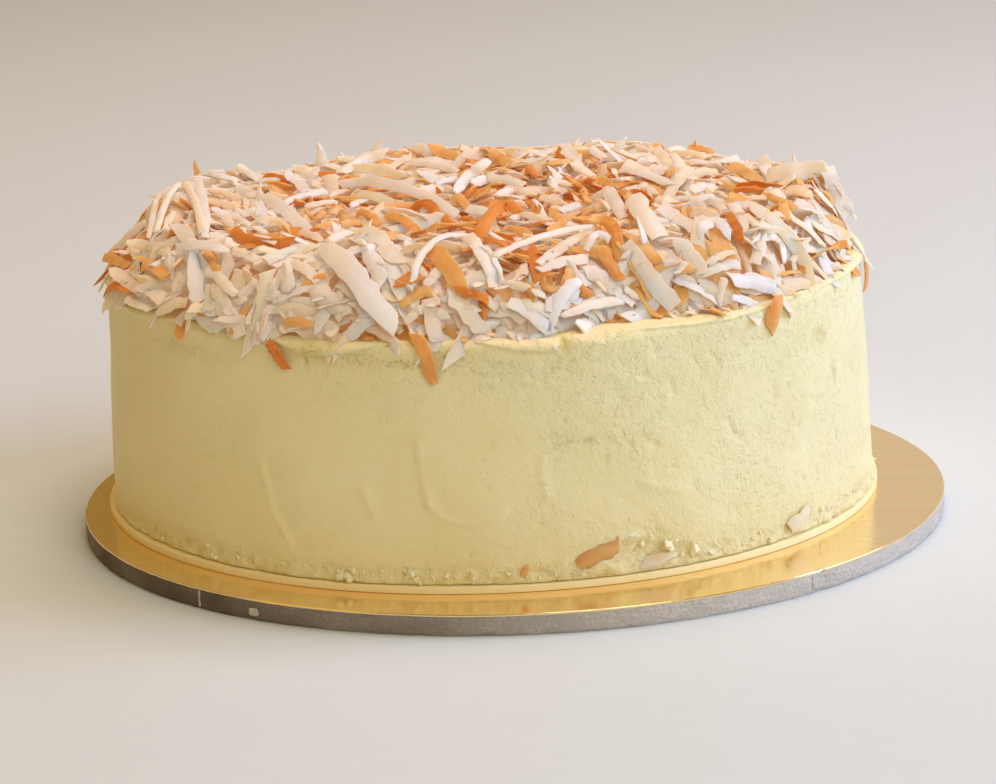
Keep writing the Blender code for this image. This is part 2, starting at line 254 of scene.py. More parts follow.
@dataclass(frozen=True)
class Shot:
    """The photograph's camera, as solved from the round edges of the board and the cake."""

    width_px: int = 996
    height_px: int = 784
    distance: float = 1.2104
    height: float = 0.3373
    focal_px: float = 4661.8
    yaw: float = -0.165
    pitch: float = 14.12
    roll: float = 2.07
    sensor_mm: float = 36.0

    @property
    def place(self) -> np.ndarray:
        """Where the camera stands."""
        return np.array([0.0, -self.distance, self.height])

    def axes(self) -> tuple[np.ndarray, np.ndarray, np.ndarray]:
        """The camera's right, up and forward directions."""
        yaw, pitch, roll = (math.radians(a) for a in (self.yaw, self.pitch, self.roll))
        level_right = np.array([math.cos(yaw), -math.sin(yaw), 0.0])
        ahead = np.array([math.sin(yaw), math.cos(yaw), 0.0])
        forward = math.cos(pitch) * ahead - math.sin(pitch) * UP
        upward = math.sin(pitch) * ahead + math.cos(pitch) * UP
        right = math.cos(roll) * level_right - math.sin(roll) * upward
        up = math.sin(roll) * level_right + math.cos(roll) * upward
        return right, up, forward

    def ray(self, x_px: float, y_px: float) -> np.ndarray:
        """Direction of the line of sight through a pixel, one metre deep."""
        right, up, forward = self.axes()
        across = (x_px - self.width_px / 2) / self.focal_px
        rise = (self.height_px / 2 - y_px) / self.focal_px
        return forward + across * right + rise * up

    def project(self, points: np.ndarray) -> tuple[np.ndarray, np.ndarray, np.ndarray]:
        """Pixel columns, pixel rows and depths of places."""
        right, up, forward = self.axes()
        away = points - self.place
        depth = away @ forward
        columns = self.width_px / 2 + self.focal_px * (away @ right) / depth
        rows = self.height_px / 2 - self.focal_px * (away @ up) / depth
        return columns, rows, depth

    def build(self) -> bpy.types.Object:
        """Adds the camera and makes it the scene's own."""
        data = bpy.data.cameras.new("camera")
        data.sensor_width = self.sensor_mm
        data.lens = self.focal_px * self.sensor_mm / self.width_px
        data.clip_end = 20.0
        camera = bpy.data.objects.new("camera", data)
        right, up, forward = self.axes()
        turn = Matrix((right, up, -forward)).transposed().to_4x4()
        camera.matrix_world = Matrix.Translation(Vector(self.place)) @ turn
        bpy.context.scene.collection.objects.link(camera)
        bpy.context.scene.camera = camera
        return camera


SHOT = Shot()


@dataclass(frozen=True)
class CakeForm:
    """The measured body of the iced cake: two circles and the heights between them."""

    foot: float = 7.5 * MM
    top: float = 69.4 * MM
    base_centre: tuple[float, float] = (-5.0 * MM, 5.7 * MM)
    top_centre: tuple[float, float] = (-6.3 * MM, 5.7 * MM)
    base_radius: float = 102.1 * MM
    top_radius: float = 100.3 * MM

    def share(self, height: np.ndarray) -> np.ndarray:
        """How far up the wall a height is, from 0 to 1."""
        return (height - self.foot) / (self.top - self.foot)

    def centre(self, height: np.ndarray) -> tuple[np.ndarray, np.ndarray]:
        """The middle of the cake at a height."""
        share = self.share(height)
        x = self.base_centre[0] + (self.top_centre[0] - self.base_centre[0]) * share
        y = self.base_centre[1] + (self.top_centre[1] - self.base_centre[1]) * share
        return x, y

    def radius(self, height: np.ndarray) -> np.ndarray:
        """The wall's nominal radius at a height."""
        return self.base_radius + (self.top_radius - self.base_radius) * self.share(height)

    def wall(self, angle: float, height: float, outward: float = 0.0) -> Vector:
        """A place on the wall, at an angle in degrees and pushed outward."""
        x, y = self.centre(height)
        radius = self.radius(height) + outward
        turn = math.radians(angle)
        return Vector((x + radius * math.sin(turn), y - radius * math.cos(turn), height))


FORM = CakeForm()


class NodeBench:
    """Short ways to lay and join shader nodes in one tree."""

    def __init__(self, tree: bpy.types.NodeTree) -> None:
        """Starts on a tree."""
        self.tree = tree

    def node(self, kind: str, **settings: object) -> bpy.types.Node:
        """Adds a node and sets its properties."""
        made = self.tree.nodes.new(kind)
        for name, value in settings.items():
            setattr(made, name, value)
        return made

    def join(self, source: object, target: bpy.types.NodeSocket) -> None:
        """Links a socket to another, or sets a plain value on it."""
        if isinstance(source, bpy.types.NodeSocket):
            self.tree.links.new(source, target)
        elif isinstance(source, tuple) and len(source) == 3 and target.type == "RGBA":
            target.default_value = (*source, 1.0)
        else:
            target.default_value = source

    def feed(self, made: bpy.types.Node, **inputs: object) -> None:
        """Joins or sets a node's inputs, named with _ for each space."""
        for name, value in inputs.items():
            self.join(value, made.inputs[name.replace("_", " ")])

    def maths(self, operation: str, first: object, second: object = 0.0) -> bpy.types.NodeSocket:
        """One sum on two values, kept between 0 and 1 when asked for by its name."""
        clamp = operation.endswith("_CLAMP")
        made = self.node("ShaderNodeMath", operation=operation.removesuffix("_CLAMP"))
        made.use_clamp = clamp
        self.join(first, made.inputs[0])
        self.join(second, made.inputs[1])
        return made.outputs[0]

    def blend(self, factor: object, first: object, second: object) -> bpy.types.NodeSocket:
        """Mixes two colours."""
        made = self.node("ShaderNodeMix", data_type="RGBA", clamp_factor=True)
        self.join(factor, made.inputs[0])
        self.join(first, made.inputs[6])
        self.join(second, made.inputs[7])
        return made.outputs[2]

    def remap(
            self, value: object, low: float, high: float, start: float, end: float) -> bpy.types.NodeSocket:
        """Carries a value from one range to another, and no further."""
        made = self.node("ShaderNodeMapRange")
        self.feed(made, Value=value, From_Min=low, From_Max=high, To_Min=start, To_Max=end)
        return made.outputs["Result"]

    def place(self, stretch: tuple[float, float, float] = (1.0, 1.0, 1.0)) -> bpy.types.NodeSocket:
        """The piece's own coordinates, stretched along its axes."""
        source = self.node("ShaderNodeTexCoord")
        made = self.node("ShaderNodeMapping")
        self.feed(made, Scale=stretch, Vector=source.outputs["Object"])
        return made.outputs["Vector"]

    def noise(
            self, where: object, size: float, detail: float = 3.0,
            rough: float = 0.5) -> bpy.types.NodeSocket:
        """A noise pattern whose blobs are about one size across."""
        made = self.node("ShaderNodeTexNoise")
        self.feed(made, Vector=where, Scale=1.0 / size, Detail=detail, Roughness=rough)
        return made.outputs["Fac"]

    def cells(self, where: object, size: float, feature: str = "F1") -> bpy.types.NodeSocket:
        """Distance to the nearest of scattered points."""
        made = self.node("ShaderNodeTexVoronoi", feature=feature)
        self.feed(made, Vector=where, Scale=1.0 / size)
        return made.outputs["Distance"]

    def painted(self, label: str) -> bpy.types.NodeSocket:
        """A number that the mesh carries on its vertices."""
        return self.node("ShaderNodeAttribute", attribute_name=label).outputs["Fac"]

    def bump(
            self, height: object, distance: float, strength: float = 1.0,
            under: object = None) -> bpy.types.NodeSocket:
        """Turns heights between 0 and 1 into a normal, over another normal if given."""
        made = self.node("ShaderNodeBump")
        self.feed(made, Strength=strength, Distance=distance, Height=height)
        if under is not None:
            self.feed(made, Normal=under)
        return made.outputs["Normal"]

    def effect(self, group: bpy.types.NodeTree, **inputs: object) -> bpy.types.Node:
        """Places a shader node group with its own values."""
        made = self.node("ShaderNodeGroup", node_tree=group)
        self.feed(made, **inputs)
        return made


def new_finish(name: str) -> tuple[bpy.types.Material, NodeBench, bpy.types.Node]:
    """An empty finish with its bench and its Principled shader."""
    material = bpy.data.materials.new(name)
    material.use_nodes = True
    bench = NodeBench(material.node_tree)
    shader = material.node_tree.nodes["Principled BSDF"]
    return material, bench, shader


def mottle_group() -> bpy.types.NodeTree:
    """Effect that drifts between two colours in soft blotches with fine grain in them."""
    tree = bpy.data.node_groups.new("mottle", "ShaderNodeTree")
    tree.interface.new_socket("Place", in_out="INPUT", socket_type="NodeSocketVector")
    for label in ("Light", "Deep"):
        tree.interface.new_socket(label, in_out="INPUT", socket_type="NodeSocketColor")
    for label in ("Blotch Scale", "Grain Scale", "Grain Share"):
        tree.interface.new_socket(label, in_out="INPUT", socket_type="NodeSocketFloat")
    tree.interface.new_socket("Colour", in_out="OUTPUT", socket_type="NodeSocketColor")
    tree.interface.new_socket("Height", in_out="OUTPUT", socket_type="NodeSocketFloat")
    bench = NodeBench(tree)
    given = bench.node("NodeGroupInput")
    out = bench.node("NodeGroupOutput")
    blotch = bench.node("ShaderNodeTexNoise")
    grain = bench.node("ShaderNodeTexNoise")
    for made, label, detail in ((blotch, "Blotch Scale", 3.0), (grain, "Grain Scale", 4.0)):
        bench.feed(made, Vector=given.outputs["Place"], Scale=given.outputs[label], Detail=detail)
    wide = bench.remap(blotch.outputs["Fac"], 0.32, 0.68, 0.0, 1.0)
    fine = bench.remap(grain.outputs["Fac"], 0.30, 0.70, 0.0, 1.0)
    mixed = bench.node("ShaderNodeMix", data_type="FLOAT")
    bench.join(given.outputs["Grain Share"], mixed.inputs[0])
    bench.join(wide, mixed.inputs[2])
    bench.join(fine, mixed.inputs[3])
    colour = bench.blend(mixed.outputs[0], given.outputs["Light"], given.outputs["Deep"])
    bench.feed(out, Colour=colour, Height=fine)
    return tree


MOTTLE = mottle_group()


@dataclass(frozen=True)
class IcingFinish:
    """Pale yellow buttercream: soft, slightly see-through, pitted, with sponge showing in places and
    painted shade in its dents, pits and crumbly foot.
    """

    name: str = "icing"
    light: Colour = (0.900, 0.835, 0.515)
    deep: Colour = (0.860, 0.775, 0.420)
    hollow_shade: Colour = (0.740, 0.600, 0.200)
    sponge: Colour = (0.420, 0.350, 0.100)
    roughness: float = 0.5
    softness: float = 0.22

    def build(self) -> bpy.types.Material:
        """Makes the material."""
        material, bench, shader = new_finish(self.name)
        where = bench.place()
        base = bench.effect(
            MOTTLE, Place=where, Light=self.light, Deep=self.deep,
            Blotch_Scale=45.0, Grain_Scale=520.0, Grain_Share=0.35,
        )
        # Painted shade: a darker golden colour mixed into dents, pits and the sunk parts of the foot.
        hollow_shade = bench.painted("hollow_shade")
        stained = bench.blend(hollow_shade, base.outputs["Colour"], self.hollow_shade)
        speckle = bench.remap(bench.noise(where, 1.1 * MM, 4.0, 0.65), 0.50, 0.60, 0.0, 0.8)
        seen = bench.maths("MULTIPLY_CLAMP", bench.painted("sponge"), speckle)
        stained = bench.blend(seen, stained, self.sponge)
        coarse = bench.painted("coarse")
        drag = bench.noise(where, 1.5 * MM, 4.0, 0.62)
        drag = bench.remap(drag, 0.36, 0.60, 0.0, 1.0)
        pits = bench.remap(bench.cells(where, 2.6 * MM), 0.05, 0.24, 0.0, 1.0)
        fine = bench.noise(where, 0.6 * MM, 3.0, 0.6)
        flecks = bench.remap(bench.noise(where, 2.1 * MM, 3.0, 0.7), 0.56, 0.66, 0.0, 0.9)
        crumb = bench.maths("ADD", flecks, bench.maths("MULTIPLY", drag, 0.6))
        height = bench.maths("MULTIPLY", crumb, coarse)
        height = bench.maths("ADD", height, bench.maths("MULTIPLY", pits, 0.35))
        height = bench.maths("ADD", height, bench.maths("MULTIPLY", fine, 0.22))
        normal = bench.bump(height, 0.32 * MM, 0.8)
        greasy = bench.noise(where, 9.0 * MM, 3.0)
        gloss = bench.remap(greasy, 0.3, 0.7, self.roughness - 0.06, self.roughness + 0.12)
        bench.feed(
            shader, Base_Color=stained, Normal=normal, Roughness=gloss, Specular_IOR_Level=0.35,
            Subsurface_Weight=self.softness, Subsurface_Radius=(1.0, 0.75, 0.35),
            Subsurface_Scale=3.0 * MM)
        return material


@dataclass(frozen=True)
class CoconutFinish:
    """Shaved coconut of one toast: pale and see-through, or browner towards its rims, with a painted glow
    that stands in for light passing through it.
    """

    name: str
    body: Colour
    other: Colour
    rim: Colour
    rim_share: float
    softness: float = 0.85
    roughness: float = 0.40
    glow: float = 2.4 * MM
    clear: float = 0.06
    painted_glow: Colour = (0.030, 0.032, 0.032)
    warm_painted_glow: Colour = (0.085, 0.055, 0.033)

    def build(self) -> bpy.types.Material:
        """Makes the material."""
        material, bench, shader = new_finish(self.name)
        where = bench.place()
        clouds = bench.effect(
            MOTTLE, Place=where, Light=self.body, Deep=self.other,
            Blotch_Scale=130.0, Grain_Scale=700.0, Grain_Share=0.15,
        )
        across = bench.painted("across")
        fibre_place = bench.node("ShaderNodeCombineXYZ")
        bench.feed(fibre_place, X=bench.maths("MULTIPLY", across, 1.7))
        bench.feed(fibre_place, Y=bench.maths("MULTIPLY", bench.painted("along"), 0.11))
        fibres = bench.noise(fibre_place.outputs["Vector"], 1.0, 3.0, 0.6)
        tint = bench.maths("ADD", bench.painted("tint"), bench.remap(fibres, 0.35, 0.65, -0.35, 0.35))
        tint = bench.remap(tint, 0.0, 1.0, 0.0, 0.85)
        colour = bench.blend(tint, clouds.outputs["Colour"], self.other)
        browned = bench.maths("MULTIPLY", bench.maths("ABSOLUTE", across), 0.40)
        browned = bench.maths("ADD", browned, bench.painted("toast"))
        patches = bench.remap(bench.noise(where, 4.5 * MM, 2.0), 0.3, 0.7, -0.45, 0.45)
        browned = bench.maths("ADD", browned, patches)
        browned = bench.remap(browned, 0.70, 1.30, 0.0, self.rim_share)
        colour = bench.blend(browned, colour, self.rim)
        # Painted glow: an emission, warmer and stronger as the tint rises, that stands in for light passing
        # through the thin shavings and into the gaps between them.
        painted_glow_colour = bench.blend(bench.painted("tint"), self.painted_glow, self.warm_painted_glow)
        height = bench.maths("ADD", fibres, bench.noise(where, 2.6 * MM, 2.0))
        normal = bench.bump(height, 0.10 * MM, 0.6)
        gloss = bench.remap(bench.painted("tint"), 0.0, 1.0, self.roughness - 0.07, self.roughness + 0.12)
        bench.feed(
            shader, Base_Color=colour, Normal=normal, Roughness=gloss, Specular_IOR_Level=0.4, IOR=1.25,
            Emission_Color=painted_glow_colour, Emission_Strength=1.0, Transmission_Weight=self.clear,
            Subsurface_Weight=self.softness, Subsurface_Radius=(1.0, 0.76, 0.56),
            Subsurface_Scale=self.glow)
        return material


@dataclass(frozen=True)
class FoilFinish:
    """Gold foil with fine straight streaks from its roller."""

    name: str = "gold_foil"
    light: Colour = (1.0, 0.82, 0.48)
    deep: Colour = (1.0, 0.72, 0.34)
    roughness: float = 0.17
    metal: float = 0.94

    def build(self) -> bpy.types.Material:
        """Makes the material."""
        material, bench, shader = new_finish(self.name)
        streaked = bench.place((0.06, 1.0, 1.0))
        base = bench.effect(
            MOTTLE, Place=streaked, Light=self.light, Deep=self.deep,
            Blotch_Scale=160.0, Grain_Scale=900.0, Grain_Share=0.5,
        )
        lines = bench.noise(streaked, 1.0 * MM, 3.0, 0.6)
        gloss = bench.remap(lines, 0.3, 0.7, self.roughness - 0.07, self.roughness + 0.10)
        waves = bench.noise(bench.place((0.5, 1.0, 1.0)), 14.0 * MM, 2.0)
        rolled = bench.bump(waves, 0.5 * MM, 0.5)
        bench.feed(
            shader, Base_Color=base.outputs["Colour"], Metallic=self.metal, Roughness=gloss,
            Normal=bench.bump(lines, 0.02 * MM, 0.8, rolled))
        return material


@dataclass(frozen=True)
class PulpFinish:
    """Grey pulp board seen on its cut edge: fine level layers, specks and scuffs."""

    name: str
    light: Colour
    deep: Colour
    fleck: Colour
    layer: float = 0.35 * MM
    roughness: float = 0.85
    # The flag below and the last colour mix painted shade into the edge, by a number painted on the mesh.
    has_painted_shade: bool = False
    relief: float = 0.30 * MM
    painted_shade_colour: Colour = (0.13, 0.095, 0.075)

    def build(self) -> bpy.types.Material:
        """Makes the material."""
        material, bench, shader = new_finish(self.name)
        where = bench.place()
        base = bench.effect(
            MOTTLE, Place=where, Light=self.light, Deep=self.deep,
            Blotch_Scale=90.0, Grain_Scale=1100.0, Grain_Share=0.7,
        )
        layers = bench.noise(bench.place((0.07, 0.07, 1.0)), self.layer, 3.0, 0.65)
        lines = bench.remap(layers, 0.38, 0.62, 0.0, 0.75)
        colour = bench.blend(lines, base.outputs["Colour"], self.deep)
        worn = bench.noise(bench.place((0.4, 0.4, 1.0)), 1.1 * MM, 4.0, 0.7)
        scuffs = bench.remap(worn, 0.60, 0.72, 0.0, 0.6)
        colour = bench.blend(scuffs, colour, self.fleck)
        # Painted shade: a darker colour mixed in where the mesh's painted number is high, so the edge is
        # darker where little light reaches it.
        if self.has_painted_shade:
            colour = bench.blend(bench.painted("painted_shade"), colour, self.painted_shade_colour)
        height = bench.maths("ADD", layers, base.outputs["Height"])
        normal = bench.bump(height, self.relief, 1.0)
        gloss = bench.remap(layers, 0.3, 0.7, self.roughness - 0.08, self.roughness + 0.08)
        bench.feed(shader, Base_Color=colour, Normal=normal, Roughness=gloss, Specular_IOR_Level=0.3)
        return material


@dataclass(frozen=True)
class FloorFinish:
    """Plain pale studio floor."""

    name: str = "pale_floor"
    light: Colour = (0.65, 0.745, 0.78)
    deep: Colour = (0.615, 0.705, 0.745)

    def build(self) -> bpy.types.Material:
        """Makes the material."""
        material, bench, shader = new_finish(self.name)
        base = bench.effect(
            MOTTLE, Place=bench.place(), Light=self.light, Deep=self.deep,
            Blotch_Scale=3.0, Grain_Scale=120.0, Grain_Share=0.3,
        )
        normal = bench.bump(base.outputs["Height"], 0.1 * MM, 0.3)
        bench.feed(shader, Base_Color=base.outputs["Colour"], Normal=normal, Roughness=0.8)
        return material


class Tone(Enum):
    """How far a shaving is toasted."""

    WHITE = "coconut_white"
    CREAM = "coconut_cream"
    BLUSH = "coconut_blush"
    TOAST = "coconut_toasted"
    BROWN = "coconut_browned"


FINISH_OF_TONE = {
    Tone.WHITE: CoconutFinish(
        Tone.WHITE.value, (0.855, 0.86, 0.855), (0.86, 0.77, 0.65), (0.88, 0.62, 0.32), 0.55),
    Tone.CREAM: CoconutFinish(
        Tone.CREAM.value, (0.86, 0.805, 0.69), (0.86, 0.70, 0.50), (0.86, 0.52, 0.21), 0.7),
    Tone.BLUSH: CoconutFinish(
        Tone.BLUSH.value, (0.86, 0.795, 0.72), (0.86, 0.685, 0.54), (0.86, 0.51, 0.23), 0.65),
    Tone.TOAST: CoconutFinish(
        Tone.TOAST.value, (0.83, 0.54, 0.25), (0.76, 0.36, 0.11), (0.62, 0.22, 0.04),
        rim_share=0.7, softness=0.75, glow=2.4 * MM,
        painted_glow=(0.02, 0.012, 0.005), warm_painted_glow=(0.08, 0.036, 0.010)),
    Tone.BROWN: CoconutFinish(
        Tone.BROWN.value, (0.74, 0.33, 0.085), (0.64, 0.21, 0.036), (0.46, 0.125, 0.015),
        rim_share=0.6, softness=0.65, glow=2.2 * MM,
        painted_glow=(0.015, 0.008, 0.003), warm_painted_glow=(0.06, 0.022, 0.006)),
}


@dataclass(frozen=True)
class WallMark:
    """One hollow, blob or stain in the icing's wall, and the painted shade that darkens it.

    Angles are in degrees and lengths in millimetres. A positive depth stands out of the wall.
    """

    angle: float
    height: float
    half_width: float
    half_height: float
    depth: float = 0.0
    sponge: float = 0.0
    coarse: float = 0.0
    hollow_shade: float = 0.0


@dataclass(frozen=True)
class KnifeLine:
    """A ridge that the palette knife left: points of angle and height, rise and width."""

    points: Stops
    rise: float = 0.28
    width: float = 0.9
    step: float = 0.0


@dataclass
class IcingCoat:
    """The iced cake, from its crumbly foot to the soft lip under the coconut.

    lip_line holds angle, height and how far the lip stands out, these two in millimetres, as are
    the depth and the sizes of the pits.
    """

    form: CakeForm = FORM
    columns: int = 720
    wall_rows: int = 116
    rim_round: float = 2.8 * MM
    rim_rows: int = 10
    foot_flare: float = 0.5 * MM
    floor_inset: float = 0.8 * MM
    swell: float = 0.45 * MM
    roughest: float = 1.3
    lip_line: tuple[tuple[float, float, float], ...] = (
        (-180.0, 67.6, 0.5), (-168.0, 66.8, 0.8), (-158.0, 64.7, 1.0), (-147.0, 64.2, 1.1),
        (-136.0, 65.4, 0.9), (-124.0, 67.9, 0.5), (-114.0, 66.6, 0.8), (-102.0, 65.3, 1.0),
        (-91.0, 67.2, 0.7), (-78.0, 67.6, 0.6), (-63.0, 66.6, 0.8), (-52.0, 68.4, 0.5),
        (-40.0, 69.0, 0.5), (-32.0, 68.0, 0.9), (-28.5, 66.6, 1.5), (-26.2, 65.2, 1.8),
        (-22.3, 65.4, 1.8), (-18.4, 66.9, 1.4), (-14.7, 68.6, 0.7), (-8.0, 69.4, 0.3),
        (-1.5, 69.4, 0.4), (1.5, 68.0, 0.9), (4.2, 66.9, 1.1), (8.0, 66.3, 1.2),
        (10.3, 66.3, 1.2), (11.0, 69.2, 0.5), (16.0, 69.3, 0.4), (24.0, 68.8, 0.6),
        (30.0, 68.3, 0.8), (38.0, 67.8, 0.8), (45.0, 68.4, 0.6), (56.0, 68.6, 0.5),
        (68.0, 67.9, 0.6), (80.0, 67.0, 0.8), (92.0, 65.2, 1.0), (104.0, 67.2, 0.7),
        (118.0, 67.9, 0.5), (131.0, 65.6, 0.9), (143.0, 64.2, 1.1), (155.0, 66.2, 0.8),
        (168.0, 67.8, 0.5), (180.0, 67.6, 0.5),
    )
    knife_lines: tuple[KnifeLine, ...] = (
        KnifeLine(((-34.3, 35.0), (-33.7, 29.5), (-33.0, 24.0), (-30.6, 17.0)), 0.40, 1.0, -0.50),
        KnifeLine(((-50.0, 33.6), (-42.0, 34.6), (-34.8, 34.4)), 0.16, 1.4, 0.20),
        KnifeLine(((-10.2, 43.5), (-9.8, 36.0), (-9.2, 28.5)), 0.45, 0.9, 0.35),
        KnifeLine(((-9.2, 28.5), (-7.0, 24.4), (-3.0, 22.8), (1.5, 26.0)), 0.45, 0.9, 0.25),
        KnifeLine(((7.4, 39.5), (7.2, 34.0), (7.6, 29.0)), 0.40, 1.1),
        KnifeLine(((-18.4, 31.5), (-17.6, 27.5), (-17.0, 25.0)), 0.50, 1.5),
        KnifeLine(((-12.6, 41.5), (-12.8, 38.0), (-13.4, 34.6)), 0.24, 0.9),
        KnifeLine(((-46.4, 35.3), (-44.8, 35.0), (-43.9, 36.8)), -0.45, 0.5),
        KnifeLine(((36.6, 42.8), (37.6, 38.6)), -0.55, 0.7),
        KnifeLine(((27.0, 55.6), (27.8, 51.6)), -0.45, 0.8),
        KnifeLine(((-9.0, 58.0), (-2.0, 59.4), (4.0, 57.6)), 0.10, 1.2),
        KnifeLine(((22.0, 30.0), (27.0, 26.6), (33.0, 27.0)), 0.16, 1.4, 0.12),
        KnifeLine(((-78.0, 30.0), (-72.0, 24.0), (-64.0, 22.0)), 0.22, 1.2, 0.12),
        KnifeLine(((78.0, 44.0), (82.0, 34.0), (90.0, 29.0)), 0.28, 1.2, 0.18),
        KnifeLine(((104.0, 50.0), (107.0, 38.0), (104.0, 28.0)), 0.30, 1.2, -0.20),
        KnifeLine(((128.0, 46.0), (131.0, 33.0), (138.0, 26.0), (146.0, 28.0)), 0.32, 1.1, 0.22),
        KnifeLine(((164.0, 52.0), (168.0, 40.0)), 0.24, 1.1),
        KnifeLine(((-168.0, 40.0), (-165.0, 28.0), (-156.0, 23.0)), 0.30, 1.2, 0.2),
        KnifeLine(((-140.0, 52.0), (-143.0, 40.0), (-138.0, 30.0)), 0.28, 1.1, -0.2),
        KnifeLine(((-112.0, 42.0), (-108.0, 30.0), (-100.0, 25.0)), 0.30, 1.2, 0.2),
    )
    # The last number of each mark is painted shade in its dent.
    marks: tuple[WallMark, ...] = (
        WallMark(-18.5, 65.0, 9.0, 2.2, -0.25, 0.60, 0.9, 0.20),
        WallMark(-11.8, 64.2, 5.5, 1.1, -0.40, 1.00, 0.9, 0.35),
        WallMark(-4.6, 66.0, 5.0, 2.0, -0.30, 0.80, 0.9, 0.35),
        WallMark(-25.0, 66.5, 4.5, 1.6, -0.55, 0.85, 0.4, 0.55),
        WallMark(-49.0, 62.2, 14.0, 1.8, -0.12, 0.30, 0.7, 0.1),
        # A thin groove; its sponge colour and painted shade stand in for the shadow of a dark crack.
        WallMark(-26.4, 63.6, 0.45, 1.5, -0.7, 0.9, 0.0, 0.9),
        WallMark(10.2, 42.8, 4.6, 4.2, -0.25, 0.16, 1.2, 0.05),
        WallMark(13.8, 42.6, 1.5, 1.2, -0.45, 0.20, 0.9, 0.25),
        WallMark(16.4, 37.8, 1.3, 1.1, -0.35, 0.15, 0.8, 0.25),
        WallMark(11.3, 68.0, 1.6, 2.4, -0.80, 0.0, 0.2, 0.95),
        WallMark(14.4, 67.8, 6.0, 2.4, 0.35, 0.0, 0.4, 0.0),
        WallMark(58.2, 56.6, 3.0, 2.6, -0.50, 0.15, 1.0, 0.35),
        WallMark(61.8, 45.4, 1.4, 2.8, -0.50, 0.40, 0.8, 0.30),
        WallMark(72.0, 46.0, 11.0, 6.5, -0.05, 0.22, 0.3, 0.05),
        WallMark(76.0, 22.0, 9.0, 3.0, 0.0, 0.28, 0.2, 0.10),
        WallMark(21.5, 14.6, 9.0, 2.2, -0.70, 0.05, 1.0, 0.20),
        WallMark(26.0, 12.8, 6.0, 1.4, -0.60, 0.12, 0.9, 0.25),
        WallMark(18.6, 16.8, 4.0, 1.0, 0.70, 0.0, 0.6, 0.0),
        WallMark(12.6, 10.0, 6.5, 1.4, 0.35, 0.0, 0.6, 0.0),
        WallMark(1.0, 62.0, 16.0, 3.0, 0.0, 0.12, 0.8, 0.0),
        WallMark(-33.0, 55.0, 9.0, 5.0, 0.0, 0.0, -0.5, 0.0),
        WallMark(-4.0, 35.0, 9.0, 8.0, 0.12, 0.0, -0.7, 0.0),
        WallMark(-40.0, 26.0, 12.0, 8.0, -0.10, 0.0, -0.6, 0.0),
        WallMark(17.0, 30.0, 12.0, 8.0, 0.10, 0.0, -0.5, 0.0),
        WallMark(101.0, 60.0, 9.0, 3.0, -0.40, 0.70, 0.9, 0.4),
        WallMark(134.0, 44.0, 6.0, 5.0, -0.40, 0.65, 0.9, 0.4),
        WallMark(166.0, 63.0, 8.0, 2.2, -0.40, 0.80, 0.8, 0.4),
        WallMark(-158.0, 58.0, 10.0, 4.0, -0.20, 0.45, 0.8, 0.3),
        WallMark(-121.0, 48.0, 5.0, 4.0, -0.50, 0.70, 0.9, 0.5),
        WallMark(-92.0, 62.0, 12.0, 2.6, -0.25, 0.55, 0.7, 0.3),
        WallMark(118.0, 12.0, 9.0, 2.2, -0.70, 0.25, 1.0, 0.5),
        WallMark(-145.0, 12.0, 8.0, 2.2, -0.70, 0.25, 1.0, 0.5),
    )
    pit_count: int = 520
    pit_depth: float = 0.42
    pit_sizes: tuple[float, float] = (0.35, 1.2)
    pit_seed: int = 41

    def profile(self) -> list[Vector]:
        """The outline that is spun round, from the middle of the underside to the top."""
        foot, top, radius = self.form.foot, self.form.top, self.form.base_radius
        outline = [Vector((0.0, 0.0, foot)), Vector((radius * 0.96, 0.0, foot))]
        outline.append(Vector((radius - self.floor_inset, 0.0, foot)))
        rim_foot = top - self.rim_round
        for row in range(self.wall_rows + 1):
            share = row / self.wall_rows
            height = foot + 0.4 * MM + (rim_foot - foot - 0.4 * MM) * share
            outline.append(Vector((radius, 0.0, height)))
        for row in range(1, self.rim_rows + 1):
            turn = 0.5 * math.pi * row / self.rim_rows
            inward = self.rim_round * (1.0 - math.cos(turn))
            outline.append(Vector((radius - inward, 0.0, rim_foot + self.rim_round * math.sin(turn))))
        for share in (0.972, 0.958, 0.942, 0.92, 0.88, 0.6):
            outline.append(Vector((radius * share, 0.0, top)))
        outline.append(Vector((0.0, 0.0, top)))
        return outline

    def spun(self) -> bpy.types.Object:
        """Spins the outline into a closed drum round the origin."""
        select_none()
        outline = self.profile()
        mesh = bpy.data.meshes.new("icing_coat")
        mesh.from_pydata(outline, [(i, i + 1) for i in range(len(outline) - 1)], [])
        piece = bpy.data.objects.new("icing_coat", mesh)
        bpy.context.scene.collection.objects.link(piece)
        select_only(piece)
        bpy.ops.object.mode_set(mode="EDIT")
        bpy.ops.mesh.select_all(action="SELECT")
        bpy.ops.mesh.spin(
            steps=self.columns, angle=2 * math.pi, center=(0, 0, 0), axis=(0, 0, 1), use_auto_merge=True)
        bpy.ops.mesh.select_all(action="SELECT")
        bpy.ops.mesh.remove_doubles(threshold=0.02 * MM)
        bpy.ops.mesh.normals_make_consistent(inside=False)
        bpy.ops.object.mode_set(mode="OBJECT")
        return piece

    def lip(self, angles: np.ndarray, heights: np.ndarray) -> np.ndarray:
        """How far the hanging lip of icing stands out of the wall."""
        low = follow(self.lip_line, angles) * MM
        proud = follow(self.lip_line, angles, 2) * MM
        lean = smooth_step(-0.25 * MM, 0.45 * MM, heights - low)
        belly = 1.0 + 0.35 * np.exp(-((heights - low - 1.2 * MM) / (1.3 * MM)) ** 2)
        return proud * lean * belly * 1.15

